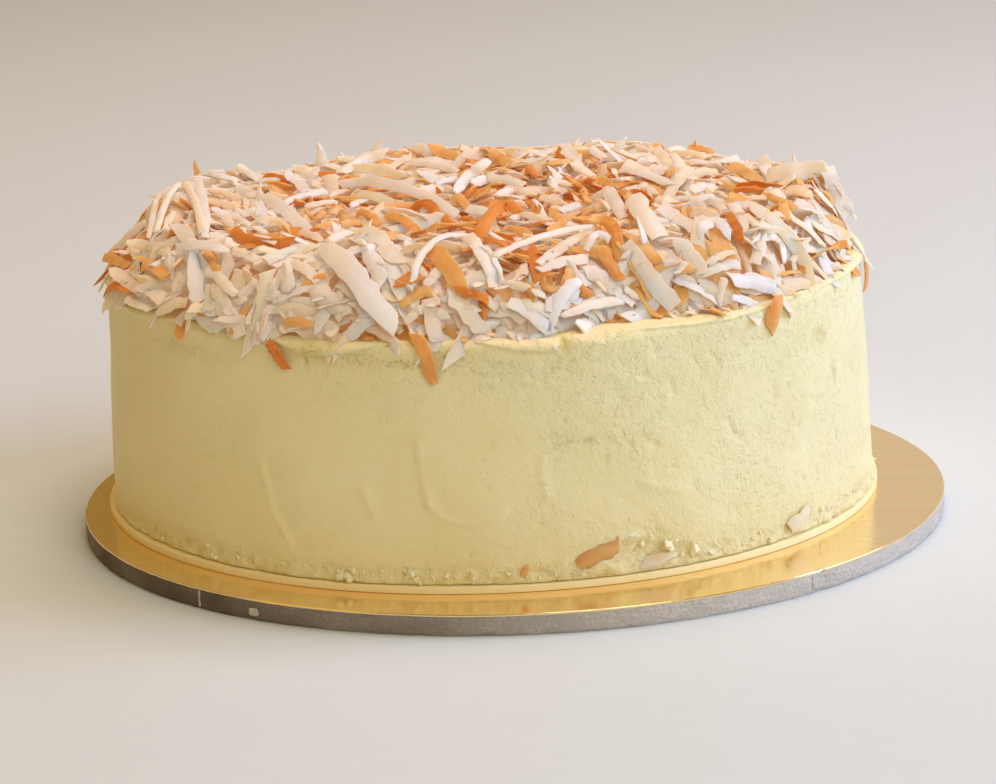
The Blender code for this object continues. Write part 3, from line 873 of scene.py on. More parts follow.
    def knife(self, angles: np.ndarray, heights: np.ndarray) -> np.ndarray:
        """Ridges and shallow steps of the palette knife."""
        along = np.radians(angles) * self.form.base_radius
        relief = np.zeros(len(angles))
        for line in self.knife_lines:
            points = [(math.radians(a) * self.form.base_radius, h * MM) for a, h in line.points]
            nearest = np.full(len(angles), 1.0)
            side = np.zeros(len(angles))
            for (x0, z0), (x1, z1) in zip(points, points[1:]):
                dx, dz = x1 - x0, z1 - z0
                share = np.clip(((along - x0) * dx + (heights - z0) * dz) / (dx * dx + dz * dz), 0.0, 1.0)
                off_x, off_z = along - x0 - share * dx, heights - z0 - share * dz
                distance = np.hypot(off_x, off_z)
                closer = distance < nearest
                nearest = np.where(closer, distance, nearest)
                side = np.where(closer, np.sign(dx * off_z - dz * off_x), side)
            width = line.width * MM
            relief += line.rise * MM * np.exp(-((nearest / width) ** 2))
            relief += line.step * MM * (side > 0) * np.exp(-nearest / (5.0 * width))
        return relief

    def coarseness(self, angles: np.ndarray, heights: np.ndarray, drum: np.ndarray) -> np.ndarray:
        """How rough the icing is: most right of the front, in patches behind and along the foot."""
        coarse = 0.16 + 0.5 * smooth_step(-4.0, 22.0, angles) * (1.0 - smooth_step(66.0, 84.0, angles))
        coarse += 0.30 * smooth_step(48.0 * MM, 58.0 * MM, heights) * smooth_step(-38.0, -24.0, angles)
        coarse += 0.5 * smooth_step(90.0, 120.0, np.abs(angles)) * (lattice_noise(drum, 30 * MM, 5) > -0.1)
        coarse += 0.34 * cloud_noise(drum, 13.0 * MM, 11)
        return coarse + 0.9 * (1.0 - smooth_step(10.0 * MM, 14.5 * MM, heights))

    def stamp(
        self, angles: np.ndarray, heights: np.ndarray, drum: np.ndarray, coarse: np.ndarray,
    ) -> tuple[np.ndarray, ...]:
        """Works the marks into the wall.

        Args:
            angles: Angle of each vertex.
            heights: Height of each vertex.
            drum: Places of the vertices on a plain drum, for the noise.
            coarse: How rough the icing is before the marks.

        Returns:
            How far the wall moves out, how much sponge shows, how much painted shade it gets and how rough.
        """
        sponge, hollow_shade, relief = (np.zeros(len(angles)) for _ in range(3))
        jitter = cloud_noise(drum, 4.0 * MM, 23)
        for mark in self.marks:
            off_x = np.radians(turn_away(angles, mark.angle)) * self.form.base_radius
            off_x = off_x / (mark.half_width * MM)
            off_z = (heights - mark.height * MM) / (mark.half_height * MM)
            inside = np.exp(-((off_x**2 + off_z**2) * (1.0 + 0.45 * jitter)).clip(0.0))
            relief += mark.depth * MM * inside * (1.0 + 0.6 * jitter)
            sponge = np.maximum(sponge, mark.sponge * inside)
            hollow_shade = np.maximum(hollow_shade, mark.hollow_shade * inside)
            coarse = coarse + mark.coarse * inside
        return relief, sponge, hollow_shade, np.clip(coarse, 0.03, self.roughest)

    def dress(self, piece: bpy.types.Object) -> None:
        """Leans the drum, moves its wall in and out and paints what the finish reads."""
        places = read_places(piece.data)
        heights = places[:, 2]
        radii = np.hypot(places[:, 0], places[:, 1])
        angles = angles_round(places[:, 0], places[:, 1])
        share = self.form.share(heights)
        turn = np.radians(angles)
        unit = np.stack([np.sin(turn), -np.cos(turn), share * 0.0], 1)
        full = self.form.base_radius
        drum = unit * full
        drum[:, 2] = heights
        on_wall = smooth_step(full * 0.93, full * 0.985, radii)
        coarse = self.coarseness(angles, heights, drum)
        relief, sponge, hollow_shade, coarse = self.stamp(angles, heights, drum, coarse)

        relief += self.swell * 0.8 * (
            np.sin(3 * turn + 0.7) * np.sin(2.1 * math.pi * share + 0.4)
            + 0.6 * np.sin(7 * turn - 1.1 + 3.0 * share) + 0.3 * np.sin(13 * turn + 5.0 * share))
        relief += 0.16 * MM * cloud_noise(drum, 13.0 * MM, 3)
        relief += 0.15 * MM * cloud_noise(drum, 2.4 * MM, 7, 2) * coarse
        relief += self.knife(angles, heights)
        pitted = self.pits(angles, heights)
        relief -= pitted * self.pit_depth * MM
        # Painted shade in the pits.
        hollow_shade = np.maximum(hollow_shade, 0.45 * smooth_step(0.35, 1.0, pitted))

        uneven = heights + 1.6 * MM * lattice_noise(drum, 7 * MM, 31)
        crumbly = 1.0 - smooth_step(9.5 * MM, 14.0 * MM, uneven)
        ragged = cloud_noise(drum, 2.1 * MM, 37, 3)
        relief += crumbly * (0.42 * MM * ragged - 0.25 * MM)
        # Painted shade in the sunk parts of the crumbly foot.
        hollow_shade = np.maximum(hollow_shade, crumbly * smooth_step(0.25, 0.9, -ragged) * 0.5)
        flare = 1.0 - smooth_step(8.2 * MM, 11.5 * MM, heights)
        relief += flare * self.foot_flare * (0.9 + 0.4 * lattice_noise(drum, 5 * MM, 47))
        undercut = 1.0 - smooth_step(7.75 * MM, 8.3 * MM, heights)
        relief -= undercut * 0.3 * MM * (0.6 + 0.5 * lattice_noise(drum, 3 * MM, 43))

        flat_top = smooth_step(full * 0.90, full * 0.975, radii)
        relief = relief * on_wall + self.lip(angles, heights) * on_wall
        inward = full - radii
        lean_radius = self.form.radius(heights) - inward + relief
        lean_radius = np.where(radii < full * 0.9, radii * self.form.top_radius / full, lean_radius)
        x, y = self.form.centre(heights)
        places[:, 0] = x + unit[:, 0] * lean_radius
        places[:, 1] = y + unit[:, 1] * lean_radius
        at_top = (heights > self.form.top - 0.01 * MM) & (radii > full * 0.85)
        dip = 0.35 * MM * cloud_noise(drum * 0.9 + unit * 0.2 * radii[:, None], 9.0 * MM, 53)
        places[:, 2] = heights + np.where(at_top, np.minimum(dip, 0.05 * MM) * flat_top, 0.0)
        write_places(piece.data, places)
        for label, numbers in (("coarse", coarse), ("sponge", sponge), ("hollow_shade", hollow_shade)):
            paint(piece.data, label, (numbers * on_wall).clip(0.0, self.roughest))

    def pits(self, angles: np.ndarray, heights: np.ndarray) -> np.ndarray:
        """Depth, from 0 to 1, of the burst bubbles in the wall."""
        draw = np.random.default_rng(self.pit_seed)
        depth = np.zeros(len(angles))
        order = np.argsort(angles)
        sorted_angles = angles[order]
        for _ in range(self.pit_count):
            middle = draw.uniform(-180.0, 180.0)
            if abs(turn_away(np.array([middle]), 42.0)[0]) < 38.0 or draw.random() < 0.45:
                low = draw.uniform(11.0, 66.0) * MM
            else:
                low = draw.uniform(9.0, 18.0) * MM
            radius = draw.uniform(*self.pit_sizes) * MM
            calm = 0.30 if -95.0 < middle < -4.0 else 1.0
            reach = math.degrees(2.2 * radius / self.form.base_radius)
            first, last = np.searchsorted(sorted_angles, (middle - reach, middle + reach))
            near = order[first:last]
            off_x = np.radians(angles[near] - middle) * self.form.base_radius
            off_z = (heights[near] - low) * draw.uniform(0.6, 1.1)
            inside = np.exp(-((off_x**2 + off_z**2) / radius**2))
            depth[near] = np.maximum(depth[near], inside * draw.uniform(0.35, 1.0) * calm)
        return depth

    def build(self) -> None:
        """Makes the coat and seats it in place of the cake's solid."""
        piece = self.spun()
        self.dress(piece)
        shade(piece, 75.0)
        seat(piece, IcingFinish().build(), "icing", "cake")


@dataclass(frozen=True)
class Crumb:
    """One larger crumb of icing at the foot: angle, height and size in millimetres."""

    angle: float
    height: float
    size: float
    out: float = 0.4


@dataclass
class CrumbFoot:
    """Loose crumbs of icing along the foot of the cake."""

    form: CakeForm = FORM
    count: int = 240
    seed: int = 77
    chosen: tuple[Crumb, ...] = (
        Crumb(-22.4, 9.8, 2.8, 0.7), Crumb(-21.2, 8.9, 2.0, 1.0), Crumb(-20.6, 10.8, 1.6, 0.5),
        Crumb(-22.9, 8.6, 1.7, 0.9), Crumb(-12.2, 10.8, 2.2, 0.6), Crumb(-11.4, 9.4, 1.6, 0.8),
        Crumb(-7.0, 10.2, 1.5, 0.5), Crumb(19.6, 16.9, 3.6, 0.2), Crumb(20.9, 14.9, 2.0, 0.2),
        Crumb(22.4, 15.9, 2.4, 0.2), Crumb(24.9, 13.6, 3.2, 0.2), Crumb(26.4, 14.6, 1.5, 0.2),
        Crumb(29.2, 11.2, 3.0, 0.4), Crumb(31.8, 9.6, 1.7, 0.6), Crumb(27.0, 10.4, 1.6, 0.5),
    )

    def lump(self, draw: np.random.Generator, centre: Vector, size: float) -> tuple[np.ndarray, np.ndarray]:
        """Vertices and faces of one uneven lump."""
        rings, around = 4, 6
        points = []
        for lift in np.linspace(-0.8, 0.8, rings):
            wide = math.sqrt(1.0 - lift * lift * 0.95)
            for turn in np.arange(around) * 2 * math.pi / around:
                points.append((wide * math.cos(turn), wide * math.sin(turn), lift))
        points = np.array(points) * draw.uniform(0.55, 1.4, (len(points), 1)) * 0.5 * size
        points = points * draw.uniform(0.7, 1.2, (1, 3))
        spin = draw.uniform(0, 2 * math.pi, 2)
        turn = np.array(Matrix.Rotation(spin[0], 3, "Z") @ Matrix.Rotation(spin[1], 3, "X"))
        caps = []
        for start, order in ((0, -1), ((rings - 1) * around, 1)):
            loop = [start + i for i in range(around)][::order]
            caps.append((loop[0], loop[1], loop[2], loop[3]))
            caps.append((loop[0], loop[3], loop[4], loop[5]))
        return points @ turn.T + np.array(centre), np.vstack([ring_faces(rings, around), caps])

    def build(self) -> None:
        """Scatters the crumbs and joins them as one piece."""
        draw = np.random.default_rng(self.seed)
        wanted = list(self.chosen)
        for _ in range(self.count):
            angle = draw.uniform(-180.0, 180.0) if draw.random() < 0.55 else draw.uniform(-26.0, 44.0)
            height = self.form.foot / MM + abs(draw.normal(0.0, 2.1)) + 0.5
            wanted.append(Crumb(angle, height, draw.uniform(0.4, 1.25), draw.uniform(-0.1, 0.5)))
        lumps = []
        for crumb in wanted:
            centre = self.form.wall(crumb.angle, crumb.height * MM, (crumb.out - 0.2) * MM)
            centre.z = max(centre.z, self.form.foot + 0.5 * crumb.size * MM)
            lumps.append(self.lump(draw, centre, crumb.size * MM))
        piece = mesh_object("icing_crumbs", *join_parts(lumps))
        shade(piece, 40.0)
        finish = IcingFinish("icing_crumb", (0.98, 0.93, 0.64), (0.94, 0.86, 0.50)).build()
        seat(piece, finish, "icing")


@dataclass
class Shaving:
    """One curved strip of coconut as a line of sections.

    widths holds the reach to its left and right rim at each section, and skew how far an
    obliquely cut end carries one rim ahead of the other.
    """

    centres: np.ndarray
    across: np.ndarray
    facing: np.ndarray
    widths: np.ndarray
    skew: np.ndarray
    thickness: float
    camber: float
    tint: float
    toast: float = 0.0

    def surface(self, steps: int) -> np.ndarray:
        """Places spread evenly over its upper face."""
        share = np.linspace(0, len(self.centres) - 1, steps)
        index = np.arange(len(self.centres))
        line = np.stack([np.interp(share, index, self.centres[:, k]) for k in range(3)], 1)
        reach = self.across * self.widths.mean(1)[:, None]
        wide = np.stack([np.interp(share, index, reach[:, k]) for k in range(3)], 1)
        return np.vstack([line, line - 0.85 * wide, line + 0.85 * wide])

    def corners(self) -> np.ndarray:
        """Six corners for each section, round the strip."""
        tangent = np.cross(self.across, self.facing)
        oblique = tangent * self.skew[:, None]
        left = self.centres - self.across * self.widths[:, :1] + oblique
        right = self.centres + self.across * self.widths[:, 1:] - oblique
        crown = self.centres + self.facing * (self.camber * self.widths.mean(1))[:, None]
        mid = self.facing * 0.5 * self.thickness
        rim = mid * 0.42
        return np.stack([left + rim, crown + mid, right + rim, right - rim, crown - mid, left - rim], 1)


def frames_along(centres: np.ndarray, towards: np.ndarray, twist: float) -> tuple[np.ndarray, np.ndarray]:
    """Directions across and out of a strip that follows a line.

    Args:
        centres: The line's points.
        towards: The way that the strip's face looks, more or less.
        twist: How far it rolls from one end to the other, in radians.

    Returns:
        The directions across and out, one row for each point.
    """
    tangent = np.gradient(centres, axis=0)
    tangent /= np.linalg.norm(tangent, axis=1)[:, None]
    facing = towards - tangent * (tangent @ towards)[:, None]
    facing /= np.linalg.norm(facing, axis=1)[:, None]
    across = np.cross(facing, tangent)
    roll = twist * (np.linspace(0.0, 1.0, len(centres)) - 0.5)[:, None]
    turned_across = across * np.cos(roll) + facing * np.sin(roll)
    turned_facing = facing * np.cos(roll) - across * np.sin(roll)
    return turned_across, turned_facing


def cut_strip(
    draw: np.random.Generator, sections: int, half: float, ragged: float, pointed: float = 0.18,
) -> tuple[np.ndarray, np.ndarray]:
    """Cuts the outline of a shaving: torn rims and ends that are blunt, slanted or pointed.

    Args:
        draw: Source of random numbers.
        sections: Number of sections.
        half: Half of the shaving's width.
        ragged: How uneven its rims are, as a share of the width.
        pointed: How often it ends in a point.

    Returns:
        The reach to each rim at each section, and the lead of the left rim.
    """
    share = np.linspace(0.0, 1.0, sections)
    start, end = draw.uniform(0.55, 1.1, 2)
    if draw.random() < pointed:
        end = 0.12
    ramp = draw.uniform(0.08, 0.26, 2)
    shape = np.minimum(start + (1 - start) * np.minimum(share / ramp[0], 1.0),
                       end + (1 - end) * np.minimum((1 - share) / ramp[1], 1.0))
    rims = 1.0 + ragged * draw.uniform(-1.0, 0.5, (sections, 2))
    sway = 0.9 * ragged * np.sin(share * draw.uniform(2.0, 7.0) + draw.uniform(0.0, 6.3))
    rims += np.stack([sway, -sway], 1)
    skew = np.zeros(sections)
    first, last = draw.normal(0.0, 0.7 if pointed else 0.4, 2) * half
    skew[0], skew[1], skew[-2], skew[-1] = first, 0.5 * first, 0.5 * last, last
    return half * shape[:, None] * rims, skew


@dataclass(frozen=True)
class Seen:
    """A shaving as the photograph shows it.

    Pixels of its two ends, its width in pixels and its toast. arch is the rise of its middle as
    a share of its length, by is a pixel that its middle passes, and stand sets it upright.
    """

    x0: float
    y0: float
    x1: float
    y1: float
    width: float
    tone: Tone
    arch: float = 0.06
    by: tuple[float, float] | None = None
    stand: bool = False
    lift: float = 0.6
    twist: float = 0.3


# Short names for the two tables of shavings
W, C, B, T, D = Tone.WHITE, Tone.CREAM, Tone.BLUSH, Tone.TOAST, Tone.BROWN

SEEN = (
    # Left shoulder and left front
    Seen(199, 192, 195, 160, 12, T, stand=True), Seen(197, 178, 206, 236, 9, W, by=(204, 205)),
    Seen(157, 232, 203, 232, 8, W, by=(182, 182)), Seen(148, 238, 158, 194, 7, W),
    Seen(160, 194, 197, 186, 9, W), Seen(202, 174, 237, 182, 11, W), Seen(236, 166, 258, 181, 10, C),
    Seen(208, 190, 240, 200, 8, C), Seen(204, 201, 238, 209, 9, B),
    Seen(257, 208, 261, 181, 7, W, stand=True), Seen(262, 197, 308, 230, 14, W),
    Seen(234, 186, 249, 194, 11, W), Seen(236, 211, 249, 216, 8, W),
    Seen(233, 231, 292, 243, 13, D, by=(262, 243)), Seen(186, 243, 224, 252, 16, W, lift=2.2),
    Seen(197, 254, 214, 309, 17, W, by=(197, 296)), Seen(213, 261, 219, 284, 8, T),
    Seen(139, 263, 167, 276, 15, T), Seen(103, 258, 127, 266, 10, T), Seen(126, 243, 168, 252, 11, C),
    Seen(110, 272, 143, 292, 15, C), Seen(142, 280, 163, 303, 17, B), Seen(157, 313, 188, 302, 14, B),
    Seen(118, 248, 146, 222, 9, B), Seen(150, 258, 186, 236, 9, C), Seen(207, 271, 238, 296, 13, B),
    Seen(231, 250, 258, 262, 12, B), Seen(239, 298, 258, 283, 10, B), Seen(268, 291, 280, 304, 13, W),
    Seen(250, 324, 258, 306, 11, C), Seen(263, 313, 316, 302, 12, W), Seen(285, 323, 316, 325, 12, T),
    Seen(283, 300, 326, 275, 9, T), Seen(222, 300, 234, 320, 12, B), Seen(174, 292, 190, 274, 11, B),
    Seen(212, 208, 232, 226, 9, B), Seen(250, 226, 232, 216, 8, B), Seen(300, 248, 266, 262, 13, C),
    Seen(292, 262, 318, 282, 12, B), Seen(126, 300, 150, 310, 12, C), Seen(186, 316, 214, 308, 9, C),
    # Front middle
    Seen(324, 247, 397, 328, 26, W, lift=2.6, arch=0.03), Seen(364, 229, 400, 262, 22, W, lift=1.5),
    Seen(368, 249, 381, 288, 18, W), Seen(384, 256, 405, 298, 18, W),
    Seen(412, 285, 470, 236, 9, W, by=(432, 243), lift=2.2),
    Seen(466, 236, 492, 288, 14, W, by=(485, 258), lift=2.2),
    Seen(429, 249, 463, 293, 20, T, lift=2.0, arch=0.08), Seen(455, 290, 489, 300, 11, D, lift=2.2),
    Seen(448, 297, 488, 336, 17, W, lift=1.5), Seen(399, 303, 431, 291, 14, T),
    Seen(430, 310, 447, 319, 12, W), Seen(314, 287, 343, 313, 22, B), Seen(347, 337, 374, 317, 15, W),
    Seen(336, 318, 350, 307, 12, C), Seen(405, 322, 426, 308, 10, C), Seen(352, 300, 366, 316, 12, B),
    Seen(398, 236, 410, 242, 9, W), Seen(410, 262, 426, 280, 11, C), Seen(404, 243, 420, 254, 9, W),
    Seen(308, 318, 334, 330, 12, B), Seen(376, 296, 398, 300, 10, B), Seen(462, 306, 478, 312, 9, C),
    Seen(340, 284, 360, 300, 11, B), Seen(440, 268, 426, 286, 10, B),
    # Back left and skyline
    Seen(323, 178, 318, 142, 17, W, stand=True), Seen(293, 168, 316, 175, 9, C),
    Seen(264, 177, 290, 182, 11, D), Seen(286, 173, 305, 191, 12, W), Seen(336, 158, 356, 164, 8, C),
    Seen(341, 173, 386, 153, 13, W), Seen(370, 160, 384, 138, 11, W, stand=True),
    Seen(350, 168, 402, 177, 12, C), Seen(341, 186, 457, 215, 12, W, by=(398, 186)),
    Seen(283, 204, 326, 192, 8, W), Seen(304, 207, 337, 203, 7, C), Seen(353, 193, 392, 204, 12, C),
    Seen(385, 219, 418, 232, 11, T, by=(400, 218)), Seen(412, 210, 438, 214, 12, D, by=(426, 204)),
    Seen(318, 218, 328, 208, 8, T), Seen(332, 214, 344, 206, 8, T), Seen(350, 206, 366, 200, 7, W),
    Seen(318, 228, 334, 224, 7, T), Seen(342, 226, 360, 222, 7, T), Seen(372, 209, 416, 207, 7, T),
    Seen(455, 196, 468, 208, 10, T), Seen(414, 147, 431, 155, 11, W), Seen(429, 147, 457, 160, 14, T),
    Seen(414, 162, 457, 173, 14, B), Seen(455, 192, 488, 160, 12, W), Seen(473, 185, 491, 177, 11, W),
    Seen(468, 208, 496, 216, 12, W), Seen(462, 218, 480, 224, 8, D), Seen(330, 240, 352, 232, 10, W),
    Seen(300, 232, 322, 240, 9, B), Seen(356, 214, 378, 226, 9, T, by=(368, 214)),
    Seen(270, 222, 288, 228, 8, C), Seen(392, 166, 410, 158, 9, W), Seen(436, 184, 458, 180, 9, W),
    Seen(330, 196, 346, 190, 8, B),
    # Back middle and right
    Seen(478, 243, 519, 213, 15, D, by=(498, 208), lift=1.8), Seen(489, 153, 509, 166, 14, T),
    Seen(526, 168, 539, 178, 11, D), Seen(480, 177, 522, 187, 13, W), Seen(549, 178, 557, 192, 10, W),
    Seen(581, 188, 588, 202, 9, T), Seen(597, 181, 614, 190, 11, T, by=(606, 182)),
    Seen(617, 197, 631, 206, 10, T, by=(626, 194)), Seen(564, 147, 578, 169, 14, W),
    Seen(607, 162, 627, 137, 15, W, stand=True), Seen(574, 167, 593, 176, 11, W),
    Seen(622, 167, 670, 186, 20, B, lift=1.2), Seen(657, 148, 670, 169, 10, W),
    Seen(673, 154, 706, 158, 11, C), Seen(692, 148, 712, 153, 10, T), Seen(669, 197, 688, 167, 14, W),
    Seen(692, 192, 713, 186, 12, W), Seen(717, 181, 734, 189, 8, T), Seen(729, 166, 759, 181, 15, T),
    Seen(761, 158, 769, 174, 12, W), Seen(767, 177, 826, 170, 22, C, lift=1.2),
    Seen(825, 166, 846, 216, 16, W), Seen(844, 206, 856, 220, 4, B, lift=0.2),
    Seen(811, 223, 846, 241, 24, C), Seen(801, 245, 821, 253, 16, C), Seen(812, 258, 848, 243, 12, T),
    Seen(750, 203, 810, 285, 15, W, by=(789, 238), lift=2.6), Seen(763, 195, 795, 209, 9, T),
    Seen(783, 205, 786, 220, 11, T), Seen(734, 191, 764, 191, 7, D), Seen(735, 205, 744, 233, 13, B),
    Seen(729, 213, 741, 243, 10, D), Seen(764, 223, 755, 264, 14, W),
    Seen(698, 236, 730, 236, 12, W, by=(714, 222), lift=1.8), Seen(679, 239, 700, 274, 18, W, lift=1.4),
    Seen(706, 264, 733, 251, 11, C), Seen(691, 213, 716, 217, 13, C),
    Seen(632, 198, 659, 238, 22, W, lift=1.6), Seen(604, 190, 624, 218, 15, W),
    Seen(657, 209, 700, 233, 16, B), Seen(591, 222, 622, 262, 13, T, by=(612, 226), lift=2.0),
    Seen(624, 244, 673, 308, 20, W, lift=3.4, arch=0.03), Seen(617, 243, 650, 300, 6, T, lift=2.0),
    Seen(622, 231, 659, 264, 14, T, lift=1.4), Seen(587, 251, 609, 241, 8, W, by=(596, 234), lift=2.2),
    Seen(539, 264, 592, 232, 14, B, lift=1.2), Seen(539, 270, 588, 258, 12, B),
    Seen(480, 264, 592, 227, 8, W, lift=1.4), Seen(528, 251, 546, 284, 18, D, lift=0.0),
    Seen(545, 279, 558, 289, 9, T, by=(548, 288)), Seen(509, 302, 551, 332, 17, W, lift=2.0),
    Seen(580, 281, 548, 331, 15, W, by=(560, 300), lift=2.2), Seen(561, 316, 624, 302, 12, B, lift=1.0),
    Seen(584, 272, 614, 287, 18, B), Seen(579, 287, 598, 304, 12, D, lift=0.2),
    Seen(607, 289, 634, 304, 12, W), Seen(600, 249, 621, 281, 12, T, lift=2.2),
    Seen(502, 283, 527, 289, 10, C), Seen(533, 293, 545, 297, 9, C),
    Seen(480, 249, 496, 283, 12, W, by=(494, 264), lift=1.6), Seen(675, 279, 722, 305, 11, W, lift=1.2),
    Seen(724, 278, 716, 306, 10, W, lift=1.6), Seen(730, 279, 774, 289, 19, W, lift=1.2),
    Seen(731, 298, 760, 306, 14, W), Seen(760, 272, 785, 285, 8, T), Seen(777, 275, 800, 272, 7, T),
    Seen(674, 268, 693, 289, 13, C), Seen(704, 273, 739, 265, 11, C), Seen(652, 286, 668, 262, 11, B),
    Seen(500, 306, 524, 322, 12, B), Seen(586, 304, 604, 296, 10, B), Seen(640, 300, 624, 288, 10, C),
    Seen(496, 196, 512, 190, 9, W), Seen(540, 198, 562, 206, 10, B), Seen(520, 214, 546, 222, 11, C),
    Seen(560, 212, 580, 206, 9, W), Seen(516, 190, 534, 196, 9, C), Seen(508, 228, 532, 236, 9, T),
    Seen(548, 232, 566, 222, 9, T), Seen(566, 224, 584, 238, 10, W), Seen(640, 184, 656, 194, 9, C),
    Seen(706, 200, 724, 210, 10, B), Seen(744, 214, 756, 226, 9, C), Seen(786, 190, 812, 196, 12, C),
    Seen(796, 208, 820, 214, 12, W), Seen(690, 176, 716, 172, 10, C), Seen(540, 156, 556, 150, 10, W),
    Seen(516, 160, 536, 154, 10, C), Seen(590, 150, 606, 160, 10, W), Seen(718, 164, 738, 158, 9, B),
    Seen(792, 262, 806, 240, 11, C), Seen(820, 234, 842, 250, 12, C), Seen(470, 264, 486, 246, 10, B),
)


@dataclass(frozen=True)
class Cuts:
    """Sizes that loose shavings are cut to, in millimetres: small ones and large ones."""

    small_share: float
    short: tuple[float, float]
    long: tuple[float, float]
    narrow: tuple[float, float] = (1.8, 3.6)
    wide: tuple[float, float] = (3.0, 6.0)

    def pick(self, draw: np.random.Generator) -> tuple[float, float]:
        """Length and width of the next shaving."""
        small = draw.random() < self.small_share
        length = draw.uniform(*(self.short if small else self.long)) * MM
        width = draw.uniform(*(self.narrow if small else self.wide)) * MM
        return length, width


@dataclass
class CoconutHeap:
    """The heap of shavings: a hidden mound, the shavings seen in front and a pile that fills it.

    rim holds angle and reach in millimetres, and skyline the heap's outline in pixels. ledge is
    the radius past which shavings hang over the edge, top_limit the farthest that they reach,
    and bedding how high over the icing the lowest lie.
    """

    form: CakeForm = FORM
    cell: float = 1.25 * MM
    half_span: float = 112.0 * MM
    rim: Stops = (
        (-180.0, 97.5), (-150.0, 97.0), (-120.0, 98.0), (-100.0, 99.5), (-84.0, 100.5), (-70.0, 101.0),
        (-57.0, 101.5), (-47.0, 101.5), (-40.0, 101.0), (-30.0, 100.0), (-15.0, 99.0), (-8.0, 96.5),
        (-2.0, 97.0), (3.0, 94.5), (8.0, 98.0), (14.0, 93.0), (20.0, 88.5), (27.0, 89.5),
        (34.0, 93.5), (41.0, 96.5), (52.0, 97.0), (71.0, 95.5), (85.0, 97.0), (110.0, 97.5),
        (140.0, 96.5), (165.0, 98.0), (180.0, 97.5),
    )
    skyline: Stops = (
        (100, 258), (110, 250), (118, 244), (132, 230), (140, 215), (150, 195), (165, 182), (180, 172),
        (195, 169), (208, 172), (236, 167), (260, 173), (285, 171), (300, 167), (319, 158), (340, 155),
        (360, 155), (383, 151), (400, 151), (425, 144), (460, 144), (490, 147), (530, 148), (565, 141),
        (600, 141), (625, 139), (650, 142), (680, 147), (700, 147), (715, 154), (740, 161), (763, 160),
        (790, 166), (815, 165), (835, 168), (843, 185), (850, 205), (856, 225), (860, 250),
    )
    tallest: float = 19.5 * MM
    crown: float = 15.2 * MM
    left_rise: float = 1.6 * MM
    right_rise: float = 2.0 * MM
    back_fall: float = 4.6 * MM
    foot: float = 2.2 * MM
    settle: float = 2.4 * MM
    core_depth: float = 3.6 * MM
    core_inset: float = 8.0 * MM
    top_limit: float = 103.0 * MM
    ledge: float = 98.5 * MM
    bedding: float = 0.5 * MM
    toast_centre: tuple[float, float] = (12.0 * MM, 5.0 * MM)
    toast_reach: float = 62.0 * MM
    sight_from: float = 1.05
    sight_to: float = 1.36
    sight_step: float = 0.00025
    pile_count: int = 800
    pile_cuts: Cuts = Cuts(0.36, (6.0, 13.0), (12.0, 28.0))
    pile_reach: float = 97.0 * MM
    pile_tries: int = 10
    thatch_count: int = 1150
    thatch_cuts: Cuts = Cuts(0.34, (6.0, 12.0), (11.0, 26.0))
    seed: int = 2024
    mounds: dict[Tone, list[Shaving]] = field(default_factory=lambda: {tone: [] for tone in Tone})

    def __post_init__(self) -> None:
        """Starts the maps of the heap's height and of what hangs over it."""
        count = int(2 * self.half_span / self.cell)
        self.height_map = np.zeros((count, count))
        self.ceiling = np.full((count, count), 1.0)
        self.sight = np.full((SHOT.height_px, SHOT.width_px), np.inf)

    def envelope(self, x: np.ndarray, y: np.ndarray) -> np.ndarray:
        """Height of the heap's rough outer surface over the icing."""
        off_x, off_y = x - self.form.top_centre[0], y - self.form.top_centre[1]
        radius = np.hypot(off_x, off_y)
        rim = follow(self.rim, angles_round(off_x, off_y)) * MM
        side = off_x / (95.0 * MM)
        rise = self.left_rise * np.clip(-side, 0, 1) ** 2 + self.right_rise * np.clip(side, 0, 1) ** 2
        crown = self.crown + rise
        crown = crown - self.back_fall * smooth_step(35.0 * MM, 98.0 * MM, off_y)
        slope = (13.0 - 4.5 * np.clip(side, -1, 1) + 3.5 * np.clip(-off_y / (95 * MM), 0, 1)) * MM
        inside = np.clip((rim - radius) / slope, 0.0, 1.0)
        height = self.foot + (crown - self.foot) * (1.0 - (1.0 - inside) ** 1.9)
        return np.where(radius > rim, self.foot - (radius - rim) * 2.5, height)

    def off_centre(self, places: np.ndarray) -> np.ndarray:
        """How far places lie from the heap's middle, seen from above."""
        return np.hypot(places[:, 0] - self.form.top_centre[0], places[:, 1] - self.form.top_centre[1])

    def hit(self, x_px: float, y_px: float, lift: float) -> np.ndarray:
        """The place on the heap that a pixel shows."""
        way = SHOT.ray(x_px, y_px)
        steps = np.arange(self.sight_from, self.sight_to, self.sight_step)
        line = SHOT.place + steps[:, None] * way
        over = line[:, 2] - self.form.top - lift - self.envelope(line[:, 0], line[:, 1])
        off = self.off_centre(line)
        below = np.flatnonzero((over <= 0.0) & (off < 104 * MM))
        if len(below):
            return line[below[0]]
        return line[np.argmin(over + np.maximum(0.0, off - 92 * MM) * 3.0)]

